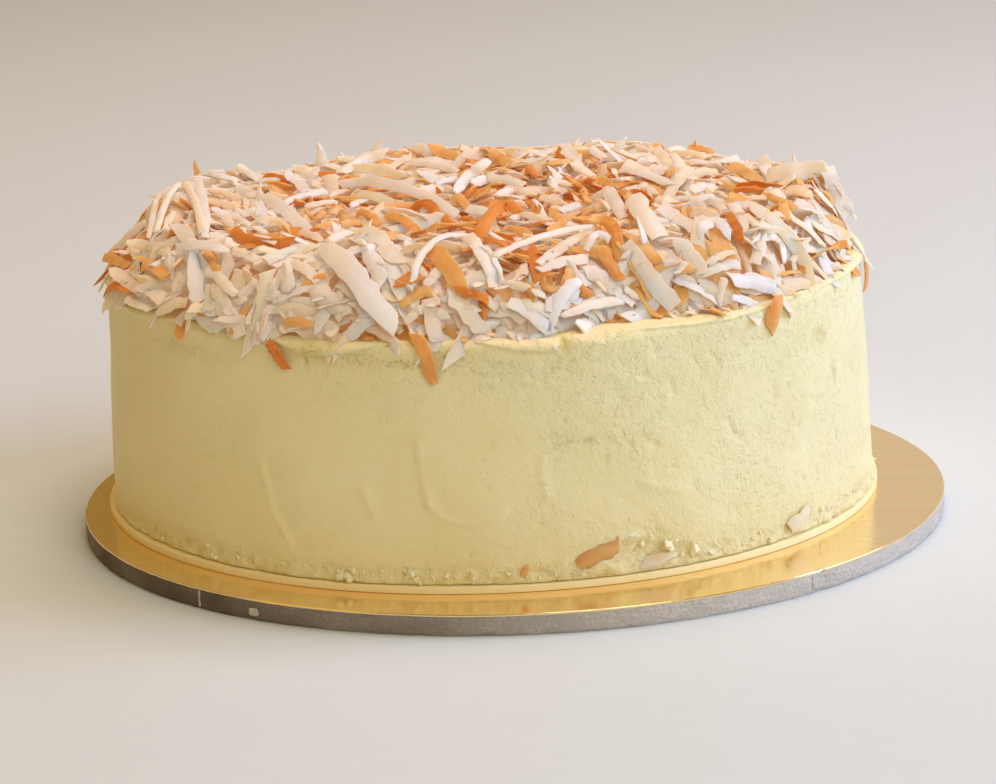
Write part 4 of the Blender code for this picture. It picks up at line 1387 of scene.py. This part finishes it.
    def place_seen(self, draw: np.random.Generator) -> None:
        """Sets down the shavings that the photograph shows."""
        for seen in SEEN:
            line = self.path(seen)
            line += draw.normal(0.0, 0.10 * MM, line.shape)
            sections = len(line)
            to_camera = SHOT.place - line[0]
            to_camera = to_camera / np.linalg.norm(to_camera)
            facing = 0.62 * to_camera + 0.5 * UP + draw.normal(0.0, 0.14, 3)
            twist = seen.twist * draw.choice((-1.0, 1.0)) * draw.uniform(0.6, 1.6)
            across, out = frames_along(line, facing, twist)
            half = 0.5 * seen.width / SHOT.focal_px * depth_of(line[0])
            widths, skew = cut_strip(draw, sections, half, 0.14 if seen.width < 12 else 0.18, 0.0)
            if seen.stand:
                widths = widths * np.linspace(1.25, 0.12, sections)[:, None]
            toast = draw.uniform(0.0, 0.55) if draw.random() < 0.7 else draw.uniform(0.55, 0.95)
            shaving = Shaving(line, across, out, widths, skew, draw.uniform(0.5, 0.75) * MM,
                              draw.uniform(-0.12, 0.30), draw.uniform(0.0, 0.7), toast)
            self.mounds[seen.tone].append(shaving)
            self.note_seen(shaving)

    def path(self, seen: Seen) -> np.ndarray:
        """Places along a seen shaving: its pixels, each as deep as the heap lets it lie.

        Args:
            seen: The shaving.

        Returns:
            Rows of x, y, z from its first end to its last.
        """
        start, end = np.array([seen.x0, seen.y0]), np.array([seen.x1, seen.y1])
        span = float(np.linalg.norm(end - start))
        middle = 0.5 * (start + end) - np.array([0.0, seen.arch * span])
        if seen.by is not None:
            middle = np.array(seen.by)
        control = 2.0 * middle - 0.5 * (start + end)
        sections = 13 if span > 54.0 else 10
        share = np.linspace(0.0, 1.0, sections)[:, None]
        pixels = (1 - share) ** 2 * start + 2 * share * (1 - share) * control + share**2 * end
        lift = seen.lift * MM
        depths = np.array([depth_of(self.hit(x, y, lift)) for x, y in pixels])
        if seen.stand:
            depths[:] = depths[0]
        depths = np.minimum(depths, np.linspace(depths[0], depths[-1], sections))
        depths = np.minimum(depths, depths.min() + 1.1 * span / SHOT.focal_px * depths[0] + 3.0 * MM)
        ways = np.array([SHOT.ray(x, y) for x, y in pixels])
        lowest = (self.form.top + self.tallest - SHOT.place[2]) / ways[:, 2]
        depths = np.maximum(depths, lowest)
        if seen.stand:
            depths[:] = depths.max()
        for _ in range(2):
            depths[1:-1] = 0.25 * depths[:-2] + 0.5 * depths[1:-1] + 0.25 * depths[2:]
        return SHOT.place + ways * depths[:, None]

    def above_skyline(self, points: np.ndarray) -> bool:
        """Whether a strip would rise over the heap's outline in the photograph."""
        columns, lines, _ = SHOT.project(points)
        return bool(np.any(lines < follow(self.skyline, columns) - 1.0))

    def thatch(self, draw: np.random.Generator) -> None:
        """Lays shavings along the heap's outside, just below its surface, down to the rim."""
        laid = 0
        for _ in range(self.thatch_count * 3):
            if laid >= self.thatch_count:
                break
            angle = draw.uniform(-180.0, 180.0)
            rim = float(follow(self.rim, angle)) * MM
            share = math.sqrt(draw.uniform(0.30, 1.0)) if draw.random() < 0.66 else draw.uniform(0.92, 1.0)
            turn = math.radians(angle)
            radius = rim * share
            spot = np.array(self.form.top_centre) + radius * np.array([math.sin(turn), -math.cos(turn)])
            length, width = self.thatch_cuts.pick(draw)
            depth = draw.uniform(0.5, 3.6) * MM
            shaving = self.lay(draw, spot, depth, length, width)
            if shaving is None:
                continue
            # Shavings laid deep get warmer tones, as painted shade.
            self.mounds[self.pick_tone(draw, spot, depth > self.settle)].append(shaving)
            points = shaving.surface(14)
            np.maximum.at(self.height_map, self.cells(points), points[:, 2] - self.form.top)
            laid += 1
        LOG.info("thatch: %d shavings", laid)

    def lay(
        self, draw: np.random.Generator, spot: np.ndarray, depth: float, length: float, width: float,
    ) -> Shaving | None:
        """Lays one shaving along the heap's surface.

        Args:
            draw: Source of random numbers.
            spot: Where its middle goes.
            depth: How far under the surface it lies.
            length: Its length.
            width: Its width.

        Returns:
            The shaving, or None where it would hang out or hide one that is seen.
        """
        sections = 11 if length > 11 * MM else 7
        heading = draw.uniform(0.0, 2 * math.pi)
        level = np.array([math.cos(heading), math.sin(heading)])
        step = 1.5 * MM
        x, y = spot
        lie = self.envelope(np.array([x, x + step, x]), np.array([y, y, y + step]))
        slope = np.array([lie[1] - lie[0], lie[2] - lie[0]]) / step
        slope *= min(1.0, 1.5 / max(1e-6, float(np.hypot(*slope))))
        climb = float(slope @ level)
        run = np.linspace(-0.5, 0.5, sections) * length / math.sqrt(1.0 + climb * climb)
        centres = np.empty((sections, 3))
        centres[:, :2] = spot + level * run[:, None]
        along = self.envelope(centres[:, 0], centres[:, 1])
        plane = lie[0] + climb * run
        centres[:, 2] = 0.6 * plane + 0.4 * np.clip(along, plane - 4 * MM, plane + 4 * MM)
        centres[:, 2] += run * draw.normal(0.0, 0.22) - depth
        centres[:, 2] += draw.normal(0.0, 0.10) * length * (0.25 - (run / length) ** 2) * 4.0
        off = self.off_centre(centres)
        if off.max() > self.top_limit:
            return None
        floor = np.where(off < self.ledge, 0.45 * MM, 0.45 * MM - 1.2 * (off - self.ledge))
        centres[:, 2] = np.maximum(centres[:, 2], floor) + self.form.top
        facing = np.array([-slope[0], -slope[1], 1.0]) + draw.normal(0.0, 0.30, 3)
        shaving = self.loose(draw, centres, facing, 0.6, width, spot)
        points = shaving.surface(12)
        if self.hides_seen(points) or self.above_skyline(points):
            return None
        return shaving

    def loose(
        self, draw: np.random.Generator, centres: np.ndarray, towards: np.ndarray,
        roll: float, width: float, spot: np.ndarray,
    ) -> Shaving:
        """Cuts a loose shaving along a line.

        Args:
            draw: Source of random numbers.
            centres: The line.
            towards: The way that its face looks, more or less.
            roll: Spread of its twist, in radians.
            width: Its width.
            spot: Where its middle is.

        Returns:
            The shaving.
        """
        across, facing = frames_along(centres, towards, draw.normal(0.0, roll))
        widths, skew = cut_strip(draw, len(centres), 0.5 * width, 0.25)
        return Shaving(centres, across, facing, widths, skew, draw.uniform(0.5, 0.8) * MM,
                       draw.uniform(-0.25, 0.4), draw.random(), self.pick_toast(draw, spot))

    def near_middle(self, spot: np.ndarray) -> float:
        """How near a place is to where the heap is toasted most, from 0 to 1."""
        x, y = self.toast_centre
        return math.exp(-((spot[0] - x) ** 2 + (spot[1] - y) ** 2) / self.toast_reach**2)

    def pick_toast(self, draw: np.random.Generator, spot: np.ndarray) -> float:
        """How far a shaving's rims have browned, more so near the middle."""
        pale = draw.random() < 0.72 - 0.2 * self.near_middle(spot)
        return draw.uniform(0.0, 0.55) if pale else draw.uniform(0.5, 1.0)

    def cells(self, points: np.ndarray) -> tuple[np.ndarray, np.ndarray]:
        """Map rows and columns under some places."""
        index = ((points[:, :2] + self.half_span) / self.cell).astype(int)
        index = np.clip(index, 0, len(self.height_map) - 1)
        return index[:, 0], index[:, 1]

    def note_seen(self, shaving: Shaving) -> None:
        """Marks where a seen shaving is, so that the pile stays under and behind it."""
        points = shaving.surface(60)
        rows = self.cells(points)
        low = points[:, 2] - self.form.top - 0.5 * MM
        np.minimum.at(self.ceiling, rows, low)
        columns, lines, depth = SHOT.project(points)
        for shift_x in (-1, 0, 1):
            for shift_y in (-1, 0, 1):
                x = np.clip(columns.astype(int) + shift_x, 0, SHOT.width_px - 1)
                y = np.clip(lines.astype(int) + shift_y, 0, SHOT.height_px - 1)
                np.minimum.at(self.sight, (y, x), depth)

    def hides_seen(self, points: np.ndarray) -> bool:
        """Whether a strip would cover a good part of a seen shaving."""
        columns, lines, depth = SHOT.project(points)
        x = np.clip(columns.astype(int), 0, SHOT.width_px - 1)
        y = np.clip(lines.astype(int), 0, SHOT.height_px - 1)
        seen = self.sight[y, x]
        return float(np.mean(np.isfinite(seen) & (depth < seen - 0.7 * MM))) > 0.09

    def start_map(self) -> None:
        """Sets the height map to the hidden mound, under whatever hangs over it."""
        span = np.arange(len(self.height_map)) * self.cell - self.half_span + 0.5 * self.cell
        grid_x, grid_y = np.meshgrid(span, span, indexing="ij")
        self.target = self.envelope(grid_x, grid_y) - self.settle
        self.height_map = np.maximum(self.target - self.core_depth, -0.2 * MM)
        self.height_map = np.minimum(self.height_map, self.ceiling - 1.0 * MM)

    def pile(self, draw: np.random.Generator) -> None:
        """Drops shavings one by one where the heap is lowest until it is full."""
        dropped = 0
        for _ in range(self.pile_count * 3):
            if dropped >= self.pile_count:
                break
            radius = self.pile_reach * np.sqrt(draw.random(self.pile_tries))
            angle = draw.uniform(-math.pi, math.pi, self.pile_tries)
            x = self.form.top_centre[0] + radius * np.sin(angle)
            y = self.form.top_centre[1] - radius * np.cos(angle)
            spots = np.stack([x, y], 1)
            rows = self.cells(spots)
            need = self.target[rows] - self.height_map[rows]
            best = int(np.argmax(need))
            if need[best] < 0.2 * MM:
                continue
            length, width = self.pile_cuts.pick(draw)
            room = 100.5 * MM - radius[best]
            shaving = self.drop(draw, spots[best], length, width, room)
            if shaving is not None:
                # Shavings dropped into deep gaps get warmer tones, as painted shade.
                deep = bool(need[best] > 1.5 * MM)
                self.mounds[self.pick_tone(draw, spots[best], deep)].append(shaving)
                dropped += 1
        LOG.info("pile: %d shavings", dropped)

    def drop(
        self, draw: np.random.Generator, spot: np.ndarray, length: float, width: float, room: float,
    ) -> Shaving | None:
        """Lets one shaving come to rest on the pile.

        Args:
            draw: Source of random numbers.
            spot: Where its middle goes.
            length: Its length.
            width: Its width.
            room: Distance from the spot to the edge of the icing.

        Returns:
            The shaving, or None where it would hang out or hide one that is seen.
        """
        sections = 11 if length > 12 * MM else 7
        heading = draw.uniform(0.0, 2 * math.pi)
        level = np.array([math.cos(heading), math.sin(heading)])
        outward = spot - np.array(self.form.top_centre)
        outward = outward / max(1e-6, np.hypot(*outward))
        if abs(float(level @ outward)) * 0.5 * length > room + 1.5 * MM:
            level = np.array([-outward[1], outward[0]])
        ends = np.stack([spot - level * 0.36 * length, spot + level * 0.36 * length])
        low, high = self.height_map[self.cells(ends)]
        pitch = np.clip(math.atan2(high - low, 0.72 * length), -0.95, 0.95) + draw.normal(0.0, 0.20)
        bend = draw.normal(0.35, 0.75)
        share = np.linspace(-0.5, 0.5, sections)
        if abs(bend) < 0.05:
            bend = 0.05
        radius = length / bend
        along, rise = radius * np.sin(share * bend), radius * (np.cos(share * bend) - 1.0)
        run = along * math.cos(pitch) - rise * math.sin(pitch)
        lift = along * math.sin(pitch) + rise * math.cos(pitch)
        centres = np.empty((sections, 3))
        centres[:, :2] = spot + level * run[:, None]
        centres[:, 2] = lift
        side = np.array([-level[1], level[0], 0.0])
        towards = UP + side * draw.normal(0.0, 0.55)
        shaving = self.loose(draw, centres, towards, 0.7, width, spot)
        points = shaving.surface(14)
        rows = self.cells(points)
        over = np.quantile(self.height_map[rows] - points[:, 2], 0.80) + 0.3 * MM
        points[:, 2] += over
        if np.any(points[:, 2] > self.ceiling[rows] + 0.6 * MM):
            return None
        centres[:, 2] += over + self.form.top
        points[:, 2] += self.form.top
        too_tall = points[:, 2].max() > self.form.top + self.tallest
        if too_tall or self.hides_seen(points) or self.above_skyline(points):
            return None
        lowest = float(np.min(points[:, 2]))
        if lowest < self.form.top + self.bedding:
            centres[:, 2] += self.form.top + self.bedding - lowest
            points[:, 2] += self.form.top + self.bedding - lowest
        np.maximum.at(self.height_map, rows, points[:, 2] - self.form.top)
        return shaving

    def pick_tone(self, draw: np.random.Generator, spot: np.ndarray, deep: bool) -> Tone:
        """Chooses a toast: browner in clusters near the middle, and warmer down in the heap, which paints
        the warm shade of the crevices.
        """
        where = np.array([[spot[0], spot[1], 0.0]])
        cluster = float(cloud_noise(where, 26.0 * MM, 61, 2)[0])
        middle = self.near_middle(spot)
        # Painted shade: shavings that lie deep get browner and warmer tones.
        brown = max(0.0, 0.01 + 0.06 * middle + 0.05 * cluster) + 0.05 * deep
        toast = brown + max(0.0, 0.06 + 0.13 * middle + 0.10 * cluster) + 0.14 * deep
        roll = draw.random() * (0.88 if deep else 1.0)
        if roll < brown:
            return Tone.BROWN
        if roll < toast:
            return Tone.TOAST
        if roll < toast + (0.42 if deep else 0.28):
            return Tone.BLUSH
        return Tone.CREAM if roll < toast + (0.68 if deep else 0.46) else Tone.WHITE

    def mound(self) -> bpy.types.Object:
        """The hidden mound that closes the gaps between the shavings."""
        rings, spokes = 64, 180
        turns = np.arange(spokes) * 2 * math.pi / spokes
        angles = np.degrees(np.where(turns > math.pi, turns - 2 * math.pi, turns))
        rim = follow(self.rim, angles) * MM
        rows = []
        for ring in range(rings):
            share = 1.0 - ring / rings
            radius = (rim - self.core_inset) * math.sqrt(share)
            x = self.form.top_centre[0] + radius * np.sin(turns)
            y = self.form.top_centre[1] - radius * np.cos(turns)
            flat = np.stack([x, y, np.zeros(spokes)], 1)
            top = self.envelope(x, y) - self.settle - self.core_depth
            top = top + 1.3 * MM * cloud_noise(flat, 5.0 * MM, 71) + 0.5 * MM
            spots = self.cells(flat)
            top = np.minimum(top, self.ceiling[spots] - 1.2 * MM)
            rows.append(np.stack([x, y, self.form.top + np.maximum(top, 0.6 * MM)], 1))
        under = rows[0].copy()
        under[:, 2] = self.form.top + 0.25 * MM
        rows.insert(0, under)
        piece = mesh_object("coconut_mound", np.vstack(rows), ring_faces(len(rows), spokes))
        shape = bmesh.new()
        shape.from_mesh(piece.data)
        bmesh.ops.holes_fill(shape, edges=[e for e in shape.edges if e.is_boundary], sides=0)
        bmesh.ops.recalc_face_normals(shape, faces=shape.faces[:])
        shape.to_mesh(piece.data)
        shape.free()
        return piece

    def strips(self, tone: Tone) -> bpy.types.Object:
        """Joins all shavings of one toast as one piece."""
        parts = []
        values = {"tint": [], "toast": [], "across": [], "along": []}
        for shaving in self.mounds[tone]:
            corners = shaving.corners()
            count, around = corners.shape[:2]
            last = (count - 1) * around
            caps = ((0, 1, 4, 5), (1, 2, 3, 4),
                    (last + 5, last + 4, last + 1, last), (last + 4, last + 3, last + 2, last + 1))
            sides = ring_faces(count, around)[:, (1, 0, 3, 2)]
            parts.append((corners.reshape(-1, 3), np.vstack([sides, caps])))
            steps = np.linalg.norm(np.diff(shaving.centres, axis=0), axis=1)
            run = np.concatenate([[0.0], np.cumsum(steps)]) / MM
            values["tint"].append(np.full(count * around, shaving.tint))
            values["toast"].append(np.repeat(shaving.toast * np.linspace(0.75, 1.15, count), around))
            values["across"].append(np.tile((-1.0, 0.0, 1.0, 1.0, 0.0, -1.0), count))
            values["along"].append(np.repeat(run + 700.0 * shaving.tint, around))
        joined = {label: np.concatenate(numbers) for label, numbers in values.items()}
        return mesh_object(tone.value, *join_parts(parts), joined)

    def build(self) -> None:
        """Fills the heap and seats its pieces in place of the topping's solid."""
        draw = np.random.default_rng(self.seed)
        self.place_seen(draw)
        self.start_map()
        self.thatch(draw)
        self.pile(draw)
        core = self.mound()
        shade(core, 60.0)
        # The hidden mound is warm peach with a strong painted glow, so the gaps between the shavings show
        # warm light instead of shade.
        mound_finish = CoconutFinish(
            "coconut_mound", (0.92, 0.68, 0.40), (0.90, 0.56, 0.27), (0.90, 0.60, 0.30),
            rim_share=0.0, softness=0.9, roughness=0.6, glow=6.0 * MM, clear=0.0,
            painted_glow=(0.13, 0.065, 0.028))
        seat(core, mound_finish.build(), "coconut", "coconut_topping")
        for tone in Tone:
            piece = self.strips(tone)
            shade(piece, 50.0)
            seat(piece, FINISH_OF_TONE[tone].build(), "coconut")


def depth_of(place: np.ndarray) -> float:
    """How deep a place lies along the line of sight."""
    return float((place - SHOT.place) @ SHOT.axes()[2])


@dataclass(frozen=True)
class StuckFlake:
    """A shaving stuck in the wall: angle, height, length, width and slope on the wall."""

    angle: float
    height: float
    length: float
    width: float
    slope: float
    tone: Tone
    proud: float = 0.7


@dataclass
class StuckFlakes:
    """Shavings that dropped on to the icing's side and stayed there."""

    form: CakeForm = FORM
    sections: int = 9
    thickness: float = 1.0 * MM
    seed: int = 5
    flakes: tuple[StuckFlake, ...] = (
        StuckFlake(-30.8, 64.6, 8.2, 2.7, -50.0, D, 0.8),
        StuckFlake(-8.2, 65.8, 13.5, 3.6, -72.0, T, 1.2),
        StuckFlake(46.5, 67.0, 9.5, 4.8, 66.0, T, 0.9),
        StuckFlake(14.4, 13.6, 11.5, 5.0, 24.0, T, 0.1),
        StuckFlake(23.2, 9.9, 10.0, 3.6, 12.0, C, 0.15),
        StuckFlake(49.4, 11.6, 8.0, 4.4, 24.0, C, 0.2),
        StuckFlake(88.0, 61.5, 11.0, 4.2, -62.0, T, 1.0),
        StuckFlake(121.0, 21.0, 10.0, 4.0, 30.0, D, 0.6),
        StuckFlake(154.0, 65.0, 12.0, 3.6, 74.0, T, 1.2),
        StuckFlake(-171.0, 12.5, 11.0, 4.8, -16.0, T, 0.5),
        StuckFlake(-136.0, 63.0, 11.5, 3.8, -48.0, D, 1.0),
        StuckFlake(-98.0, 14.5, 9.5, 4.4, 22.0, B, 0.6),
        StuckFlake(4.0, 10.9, 2.4, 1.8, 40.0, T, 0.4),
    )

    def shape(self, flake: StuckFlake, draw: np.random.Generator) -> Shaving:
        """The strip of one flake, lying against the wall."""
        turn = math.radians(flake.angle)
        outward = np.array([math.sin(turn), -math.cos(turn), 0.0])
        level = np.array([math.cos(turn), math.sin(turn), 0.0])
        slope = math.radians(flake.slope)
        way = level * math.cos(slope) + np.array([0.0, 0.0, math.sin(slope)])
        share = np.linspace(-0.5, 0.5, self.sections)
        centre = np.array(self.form.wall(flake.angle, flake.height * MM, flake.proud * MM))
        bow = (0.35 - share**2 * 2.2) * 0.5 * MM
        line = centre + way * (share * flake.length * MM)[:, None] + outward * bow[:, None]
        across, facing = frames_along(line, outward, 0.35)
        widths, skew = cut_strip(draw, self.sections, 0.5 * flake.width * MM, 0.22, 0.0)
        tint = draw.uniform(0.2, 0.8)
        return Shaving(
            line, across, facing, widths, skew, self.thickness, camber=0.25, tint=tint, toast=0.5)

    def add_to(self, heap: CoconutHeap) -> None:
        """Hands the flakes to the heap, whose pieces hold every shaving of a toast."""
        draw = np.random.default_rng(self.seed)
        for flake in self.flakes:
            heap.mounds[flake.tone].append(self.shape(flake, draw))


@dataclass
class CakeBoard:
    """The thick grey board with its gold foil, paper seam, spot and chipped rim."""

    radius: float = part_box("board_core")[1][0]
    core_top: float = 4.9 * MM
    foil_top: float = 5.5 * MM
    core_rounding: float = 0.35 * MM
    foil_rounding: float = 0.15 * MM
    margin: float = 9.0 * MM
    columns: int = 480
    # Painted shade by angle round the edge: darkest on the left and front-left, where little light falls,
    # and lightest on the right.
    painted_shade: Stops = (
        (-180.0, 0.45), (-120.0, 0.60), (-75.0, 0.86), (-55.0, 0.92), (-42.0, 0.90), (-25.0, 0.74),
        (-12.0, 0.62), (0.0, 0.48), (9.0, 0.14), (40.0, 0.05), (90.0, 0.0), (150.0, 0.20), (180.0, 0.45),
    )
    nick_angle: float = 41.2
    seam_angle: float = -44.3
    spot_angle: float = -35.1

    def drum(self, name: str, low: float, high: float, rows: int, rounding: float) -> bpy.types.Object:
        """A thin drum with bevelled rims and level loops round its edge."""
        piece = cylinder(name, self.columns, self.radius, low, high)
        bpy.ops.object.mode_set(mode="EDIT")
        bpy.ops.mesh.select_mode(type="FACE")
        bpy.ops.mesh.select_all(action="DESELECT")
        shape = bmesh.from_edit_mesh(piece.data)
        for face in shape.faces:
            face.select_set(abs(face.normal.z) > 0.9)
        bmesh.update_edit_mesh(piece.data)
        for inset in (rounding * 0.45, rounding, self.margin):
            bpy.ops.mesh.inset(thickness=inset, depth=0.0)
        bpy.ops.mesh.select_all(action="DESELECT")
        shape = bmesh.from_edit_mesh(piece.data)
        upright = [e for e in shape.edges if abs((e.verts[0].co - e.verts[1].co).z) > 0.5 * (high - low)]
        bmesh.ops.subdivide_edges(shape, edges=upright, cuts=rows, use_grid_fill=True)
        bmesh.update_edit_mesh(piece.data)
        bpy.ops.object.mode_set(mode="OBJECT")
        return piece

    def roughen(
            self, piece: bpy.types.Object, low: float, high: float, rounding: float, ragged: float) -> None:
        """Rounds the rims, wears the edge, breaks the chip out of it and paints the shade that darkens the
        edge's left side.
        """
        places = read_places(piece.data)
        radii = np.hypot(places[:, 0], places[:, 1])
        angles = angles_round(places[:, 0], places[:, 1])
        level = np.clip((places[:, 2] - low) / (high - low), 0.0, 1.0)
        edge = smooth_step(self.radius - 1.2 * MM, self.radius - 0.2 * MM, radii)
        from_rim = np.minimum(level, 1.0 - level) * (high - low)
        tuck = rounding * (1.0 - np.sqrt(np.clip(from_rim / rounding, 0.0, 1.0)))
        wear = ragged * cloud_noise(places * np.array([1.0, 1.0, 2.2]), 1.8 * MM, 83)
        wear += 0.5 * ragged * lattice_noise(places, 9.0 * MM, 87)
        frayed = 2.4 * ragged * (1.0 - level) ** 3 * np.abs(cloud_noise(places, 3.6 * MM, 91, 2))
        away = np.abs(turn_away(angles, self.nick_angle)) / 1.05
        nick = np.clip(1.0 - away, 0.0, 1.0) ** 0.6 * (0.35 + 0.65 * level) * 0.9 * MM
        cut = edge * (tuck * 0.6 + np.abs(wear) + frayed + nick)
        # Painted shade by angle, with a little noise.
        painted_shade = follow(self.painted_shade, angles) + 0.10 * cloud_noise(places, 11.0 * MM, 89)
        paint(piece.data, "painted_shade", painted_shade.clip(0.0, 1.0))
        shrink = (radii - cut) / np.maximum(radii, 1e-6)
        places[:, :2] *= shrink[:, None]
        write_places(piece.data, places)

    def patch(
            self, name: str, angle: float, low: float, high: float, width: float,
            finish: bpy.types.Material) -> None:
        """A thin scrap of paper that lies on the board's edge."""
        columns, rows = 8, 6
        sunk, proud = -0.25 * MM, 0.02 * MM
        vertices = []
        draw = np.random.default_rng(int(abs(angle) * 10))
        for layer in (sunk, proud):
            for row in range(rows + 1):
                height = low + (high - low) * row / rows
                shift = draw.normal(0.0, 0.06 * MM)
                reach = width * (1.0 - 0.4 * abs(2.0 * row / rows - 1.0) ** 3)
                for column in range(columns + 1):
                    across = (column / columns - 0.5) * reach + shift
                    turn = math.radians(angle) + across / self.radius
                    radius = self.radius + layer
                    vertices.append((radius * math.sin(turn), -radius * math.cos(turn), height))
        across = columns + 1
        sheet = (rows + 1) * across
        faces = []
        for row in range(rows):
            for column in range(columns):
                a = row * across + column
                faces.append((sheet + a, sheet + a + 1, sheet + a + across + 1, sheet + a + across))
                faces.append((a + 1, a, a + across, a + across + 1))
        for column in range(columns):
            a, b = column, rows * across + column
            faces.append((a, a + 1, sheet + a + 1, sheet + a))
            faces.append((b + 1, b, sheet + b, sheet + b + 1))
        for row in range(rows):
            a, b = row * across, row * across + columns
            faces.append((a + across, a, sheet + a, sheet + a + across))
            faces.append((b, b + across, sheet + b + across, sheet + b))
        piece = mesh_object(name, np.array(vertices), np.array(faces))
        seat(piece, finish, "board_grey")

    def build(self) -> None:
        """Makes the board and seats its pieces in place of its two solids."""
        # The grey board's edge carries painted shade.
        grey = PulpFinish(
            "board_grey", (0.84, 0.79, 0.72), (0.57, 0.52, 0.47), (0.90, 0.86, 0.80), has_painted_shade=True).build()
        paper = PulpFinish(
            "board_paper", (0.74, 0.70, 0.65), (0.58, 0.53, 0.47), (0.80, 0.77, 0.73)).build()
        core = self.drum("board_body", 0.0, self.core_top, 9, self.core_rounding)
        self.roughen(core, 0.0, self.core_top, self.core_rounding, 0.20 * MM)
        shade(core, 50.0)
        seat(core, grey, "board_grey", "board_core")
        foil = self.drum("foil_sheet", self.core_top + 0.03 * MM, self.foil_top, 2, self.foil_rounding)
        self.roughen(foil, self.core_top, self.foil_top, self.foil_rounding, 0.06 * MM)
        shade(foil, 50.0)
        seat(foil, FoilFinish().build(), "gold_sheet", "gold_foil")
        self.patch("paper_seam", self.seam_angle, 0.5 * MM, 4.8 * MM, 0.6 * MM, paper)
        self.patch("paper_spot", self.spot_angle, 1.1 * MM, 3.1 * MM, 3.2 * MM, paper)
        self.patch("rim_chip", self.nick_angle - 0.9, 0.9 * MM, 4.4 * MM, 1.5 * MM, paper)


@dataclass
class CakeCard:
    """The thin card between the cake and the board."""

    centre: tuple[float, float] = (-5.6 * MM, 6.3 * MM)
    radius: float = 103.4 * MM
    low: float = 5.53 * MM
    high: float = 7.4 * MM
    rim_width: float = 0.25 * MM
    columns: int = 360

    def build(self) -> None:
        """Makes the card and seats it in place of its solid."""
        piece = cylinder("thin_card", self.columns, self.radius, self.low, self.high, self.centre)
        bevel = piece.modifiers.new("worn_rim", "BEVEL")
        bevel.width = self.rim_width
        bevel.segments = 3
        bevel.angle_limit = math.radians(60)
        bpy.ops.object.modifier_apply(modifier=bevel.name)
        shade(piece, 50.0)
        finish = PulpFinish(
            "pale_card", (1.0, 0.92, 0.60), (0.99, 0.85, 0.49), (1.0, 0.95, 0.70),
            layer=0.5 * MM, roughness=0.45, relief=0.04 * MM)
        seat(piece, finish.build(), "pale_card", "cake_card")


@dataclass(frozen=True)
class Softbox:
    """A square soft light that looks at the cake."""

    name: str
    place: tuple[float, float, float]
    size: float
    watts: float
    colour: Colour


@dataclass
class Studio:
    """Pale floor, soft lights and the photograph's camera."""

    fill: Colour = (1.0, 0.64, 0.18)
    fill_strength: float = 0.30
    lamps: tuple[Softbox, ...] = (
        Softbox("window", (1.08, 0.05, 0.52), 0.8, 12.1, (0.52, 0.66, 1.0)),
        Softbox("front", (0.55, -1.25, 0.85), 0.9, 6.9, (0.93, 1.0, 1.0)),
        Softbox("overhead", (0.15, 0.25, 1.25), 0.9, 10.6, (1.0, 0.72, 0.62)),
        Softbox("left", (-1.0, -0.7, 0.35), 0.8, 1.0, (1.0, 0.60, 0.10)),
        Softbox("back", (0.5, 1.5, 0.5), 1.2, 1.9, (0.80, 0.85, 1.0)),
    )
    aim: tuple[float, float, float] = (0.0, 0.0, 0.05)
    floor_half: float = 4.0

    def build(self) -> None:
        """Sets up everything round the cake."""
        select_none()
        bpy.ops.mesh.primitive_plane_add(size=2 * self.floor_half, location=(0.0, 0.0, -0.05 * MM))
        floor = bpy.context.active_object
        floor.name = "floor"
        bpy.ops.object.transform_apply(location=True, rotation=True, scale=True)
        floor.data.materials.append(FloorFinish().build())
        for lamp in self.lamps:
            light = bpy.data.lights.new(lamp.name, "AREA")
            light.shape = "SQUARE"
            light.size = lamp.size
            light.energy = lamp.watts
            light.color = lamp.colour
            thing = bpy.data.objects.new(lamp.name, light)
            thing.location = lamp.place
            look = Vector(self.aim) - Vector(lamp.place)
            thing.rotation_euler = look.to_track_quat("-Z", "Y").to_euler()
            bpy.context.scene.collection.objects.link(thing)
        world = bpy.data.worlds.new("soft_room")
        world.use_nodes = True
        backdrop = world.node_tree.nodes["Background"]
        backdrop.inputs["Color"].default_value = (*self.fill, 1.0)
        backdrop.inputs["Strength"].default_value = self.fill_strength
        bpy.context.scene.world = world
        bpy.context.scene.view_settings.view_transform = "Standard"
        SHOT.build()


def main() -> None:
    """Builds the cake from its board up and sets it in the studio."""
    logging.basicConfig(level=logging.INFO, format="%(name)s: %(message)s")
    Studio().build()
    CakeBoard().build()
    CakeCard().build()
    IcingCoat().build()
    CrumbFoot().build()
    heap = CoconutHeap()
    StuckFlakes().add_to(heap)
    heap.build()


if __name__ == "__main__":
    main()
